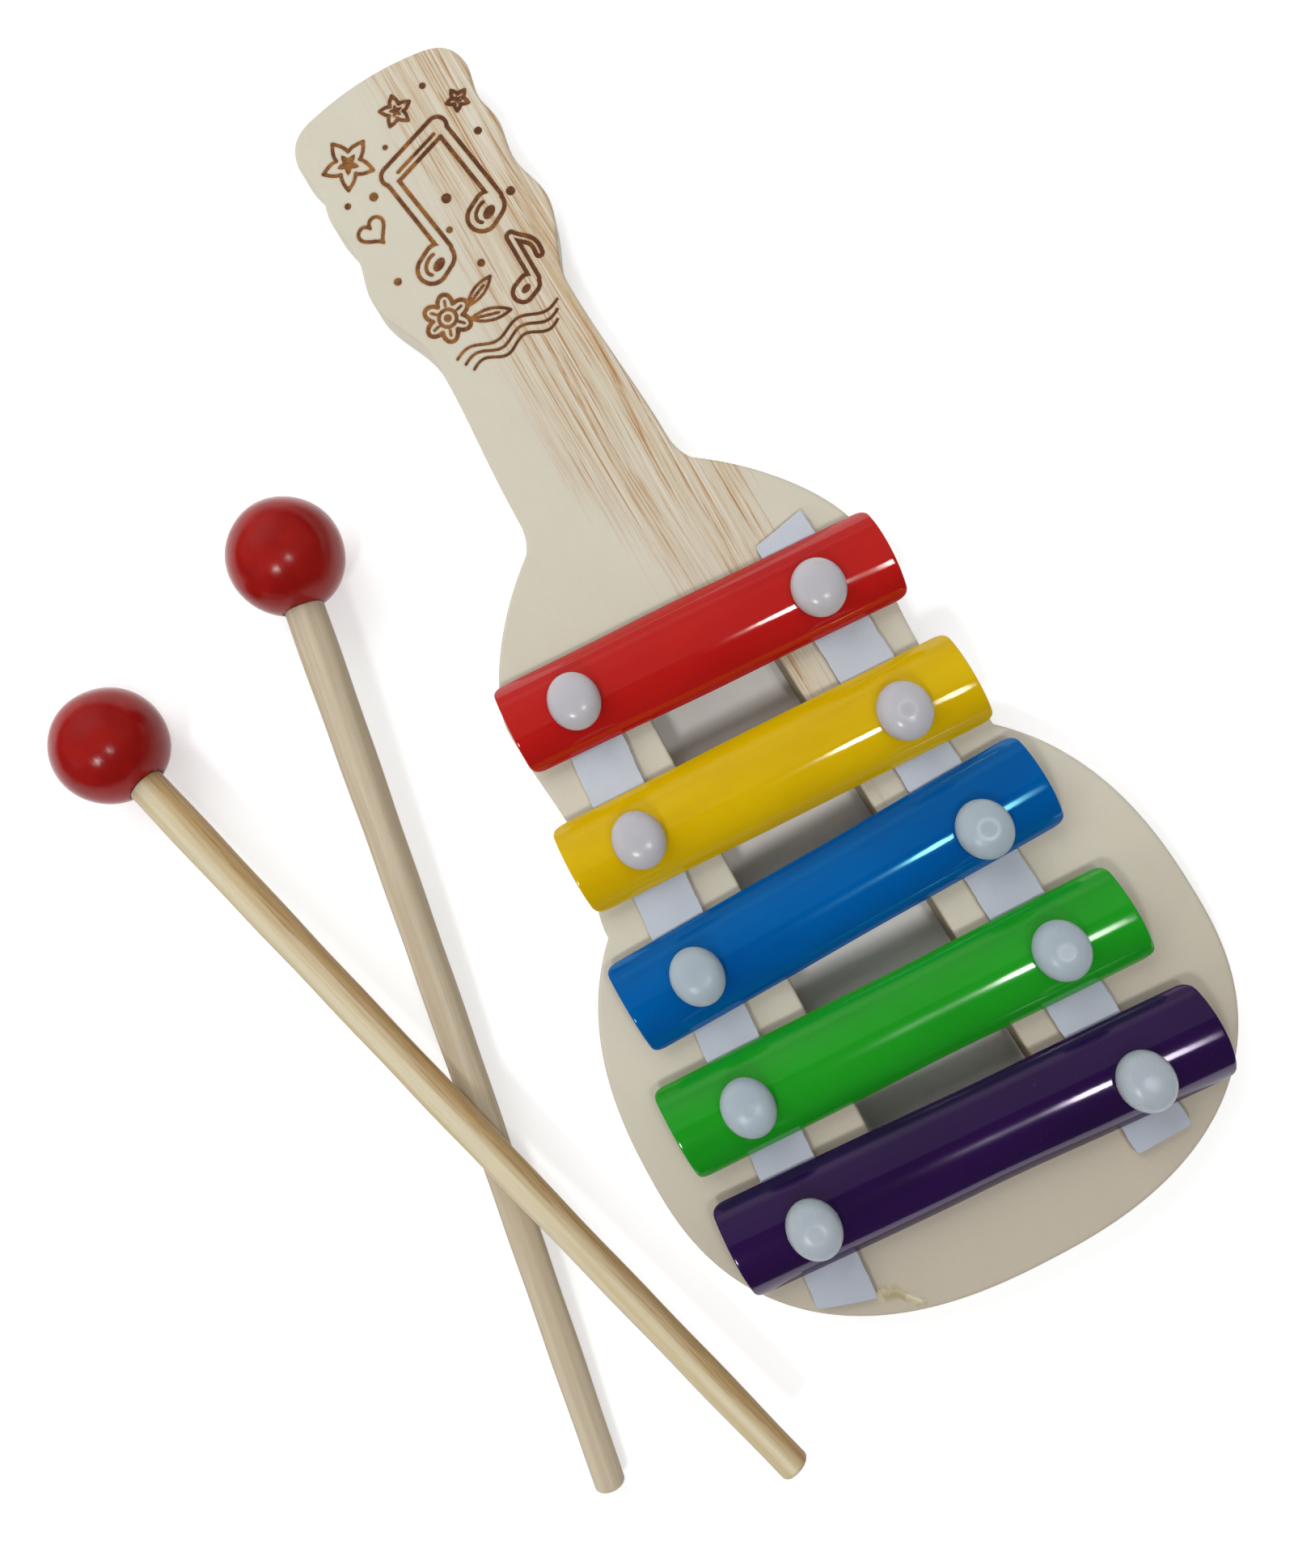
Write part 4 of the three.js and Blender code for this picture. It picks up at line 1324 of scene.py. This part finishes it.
def make_world():
    """An even pale room. The camera sees it as plain white, and glossy paint mirrors it as dark but
    for the side beyond the head."""
    world = bpy.data.worlds.new("soft_room")
    bpy.context.scene.world = world
    world.use_nodes = True
    f = Nodes(world.node_tree)
    seen, mirrored = f.rays("Is Camera Ray", "Is Glossy Ray")
    way = f.node("ShaderNodeTexCoord", {}, {}, "Generated")
    behind = f.axes(way)[1].rise(0.84, 0.94)
    shown = ROOM_MIRRORED + (CARD_MIRRORED - ROOM_MIRRORED) * behind
    strength = ROOM_LIGHT + seen * (1.0 - ROOM_LIGHT) + mirrored * (shown - ROOM_LIGHT)
    back = f.node("ShaderNodeBackground", {}, {"Color": ROOM_TINT, "Strength": strength})
    f.link(back, f.tree.nodes.new("ShaderNodeOutputWorld"), "Surface")


def make_lamp(name, spot, aim, size, power, plain=True, mirrored=True, shape="ELLIPSE"):
    """A soft box lamp at spot that faces aim, its width level along X. plain is whether it lights
    matt surfaces, and mirrored whether glossy ones show it."""
    spot, aim = Vector(spot), Vector(aim)
    light = bpy.data.lights.new(name, "AREA")
    light.shape = shape
    light.size, light.size_y = size
    light.energy = power
    lamp = bpy.data.objects.new(name, light)
    lamp.location = spot
    back = (spot - aim).normalized()
    width = (Vector((1, 0, 0)) - back.x * back).normalized()
    lamp.rotation_mode = "QUATERNION"
    lamp.rotation_quaternion = Matrix((width, back.cross(width), back)).transposed().to_quaternion()
    lamp.visible_camera = False
    lamp.visible_diffuse = plain
    lamp.visible_glossy = mirrored
    bpy.context.scene.collection.objects.link(lamp)


def far_off(x, y, z):
    """A place at the lamps' usual distance from the bars, in a direction."""
    return MIDDLE + LAMP_DISTANCE * Vector((x, y, z)).normalized()


# Lengths in metres: what the lamps face, their usual distance from it, the floor and the cards
MIDDLE = Vector((0.0, -0.04, 0.01))
LAMP_DISTANCE = 1.1
FLOOR_REACH = 3.0
FLOOR_DROP = 0.00002
CARD_END = 0.6
CARD_HEIGHT = 0.2

# Strengths of light: the floor's own near the toy and what is added far off, the room's on matt
# surfaces and in glossy ones, the glossy one's beyond the head, and a card's for each square metre
FLOOR_GLOW = 0.44
FAR_GLOW = 0.5
ROOM_TINT = (0.985, 0.99, 1.0, 1.0)
ROOM_LIGHT = 0.3
ROOM_MIRRORED = 0.06
CARD_MIRRORED = 0.42
CARD_POWER = 0.7

make_floor()
make_world()
make_lamp("left_lamp", far_off(-0.86, -0.12, 0.5), MIDDLE, (0.4, 0.4), 0.8, mirrored=False)
make_lamp("window_lamp", (-0.13, 0.46, 0.46), MIDDLE, (0.68, 0.45), 2.6, mirrored=False)
for number, near_edge in enumerate((-0.055, -0.028, 0.0)):
    spot = (0.0, (near_edge + CARD_END) / 2, CARD_HEIGHT)
    size = (1.0, CARD_END - near_edge)
    name, power = f"mirrored_card_{number}", CARD_POWER * size[0] * size[1]
    make_lamp(name, spot, (*spot[:2], 0.0), size, power, plain=False, shape="RECTANGLE")
make_lamp("strip_lamp", far_off(0.154, -0.29, 0.95), MIDDLE, (0.06, 0.16), 1.25)
make_lamp("end_lamp", far_off(0.23, -0.35, 0.90), MIDDLE, (0.036, 0.2), 0.6)
make_lamp("side_lamp", far_off(-0.36, -0.38, 0.85), MIDDLE, (0.17, 0.17), 2.8)

# The camera, as fitted to the photograph
EYE = (-13.69, -35.30, 211.28)
RIGHT = (0.86494972, -0.48754736, -0.11899393)
UP = (0.49484081, 0.86804764, 0.0403221)
AHEAD = (-0.08363347, 0.09375964, -0.99207589)
FOCAL_PIXELS = 1550.675
PRINCIPAL = (672.268, 956.666)
IMAGE = (1600.0, 1939.0)

lens = bpy.data.cameras.new("photo_camera")
lens.sensor_width = 36.0
lens.lens = FOCAL_PIXELS * lens.sensor_width / IMAGE[1]
lens.shift_x = (IMAGE[0] / 2 - PRINCIPAL[0]) / IMAGE[1]
lens.shift_y = (PRINCIPAL[1] - IMAGE[1] / 2) / IMAGE[1]
lens.clip_start = 0.01
camera = bpy.data.objects.new("photo_camera", lens)
turn = Matrix((RIGHT, UP, [-a for a in AHEAD])).transposed().to_4x4()
camera.matrix_world = Matrix.Translation(Vector(EYE) * METRES) @ turn
bpy.context.scene.collection.objects.link(camera)
bpy.context.scene.camera = camera
bpy.context.scene.view_settings.view_transform = "Standard"

bpy.context.view_layer.update()
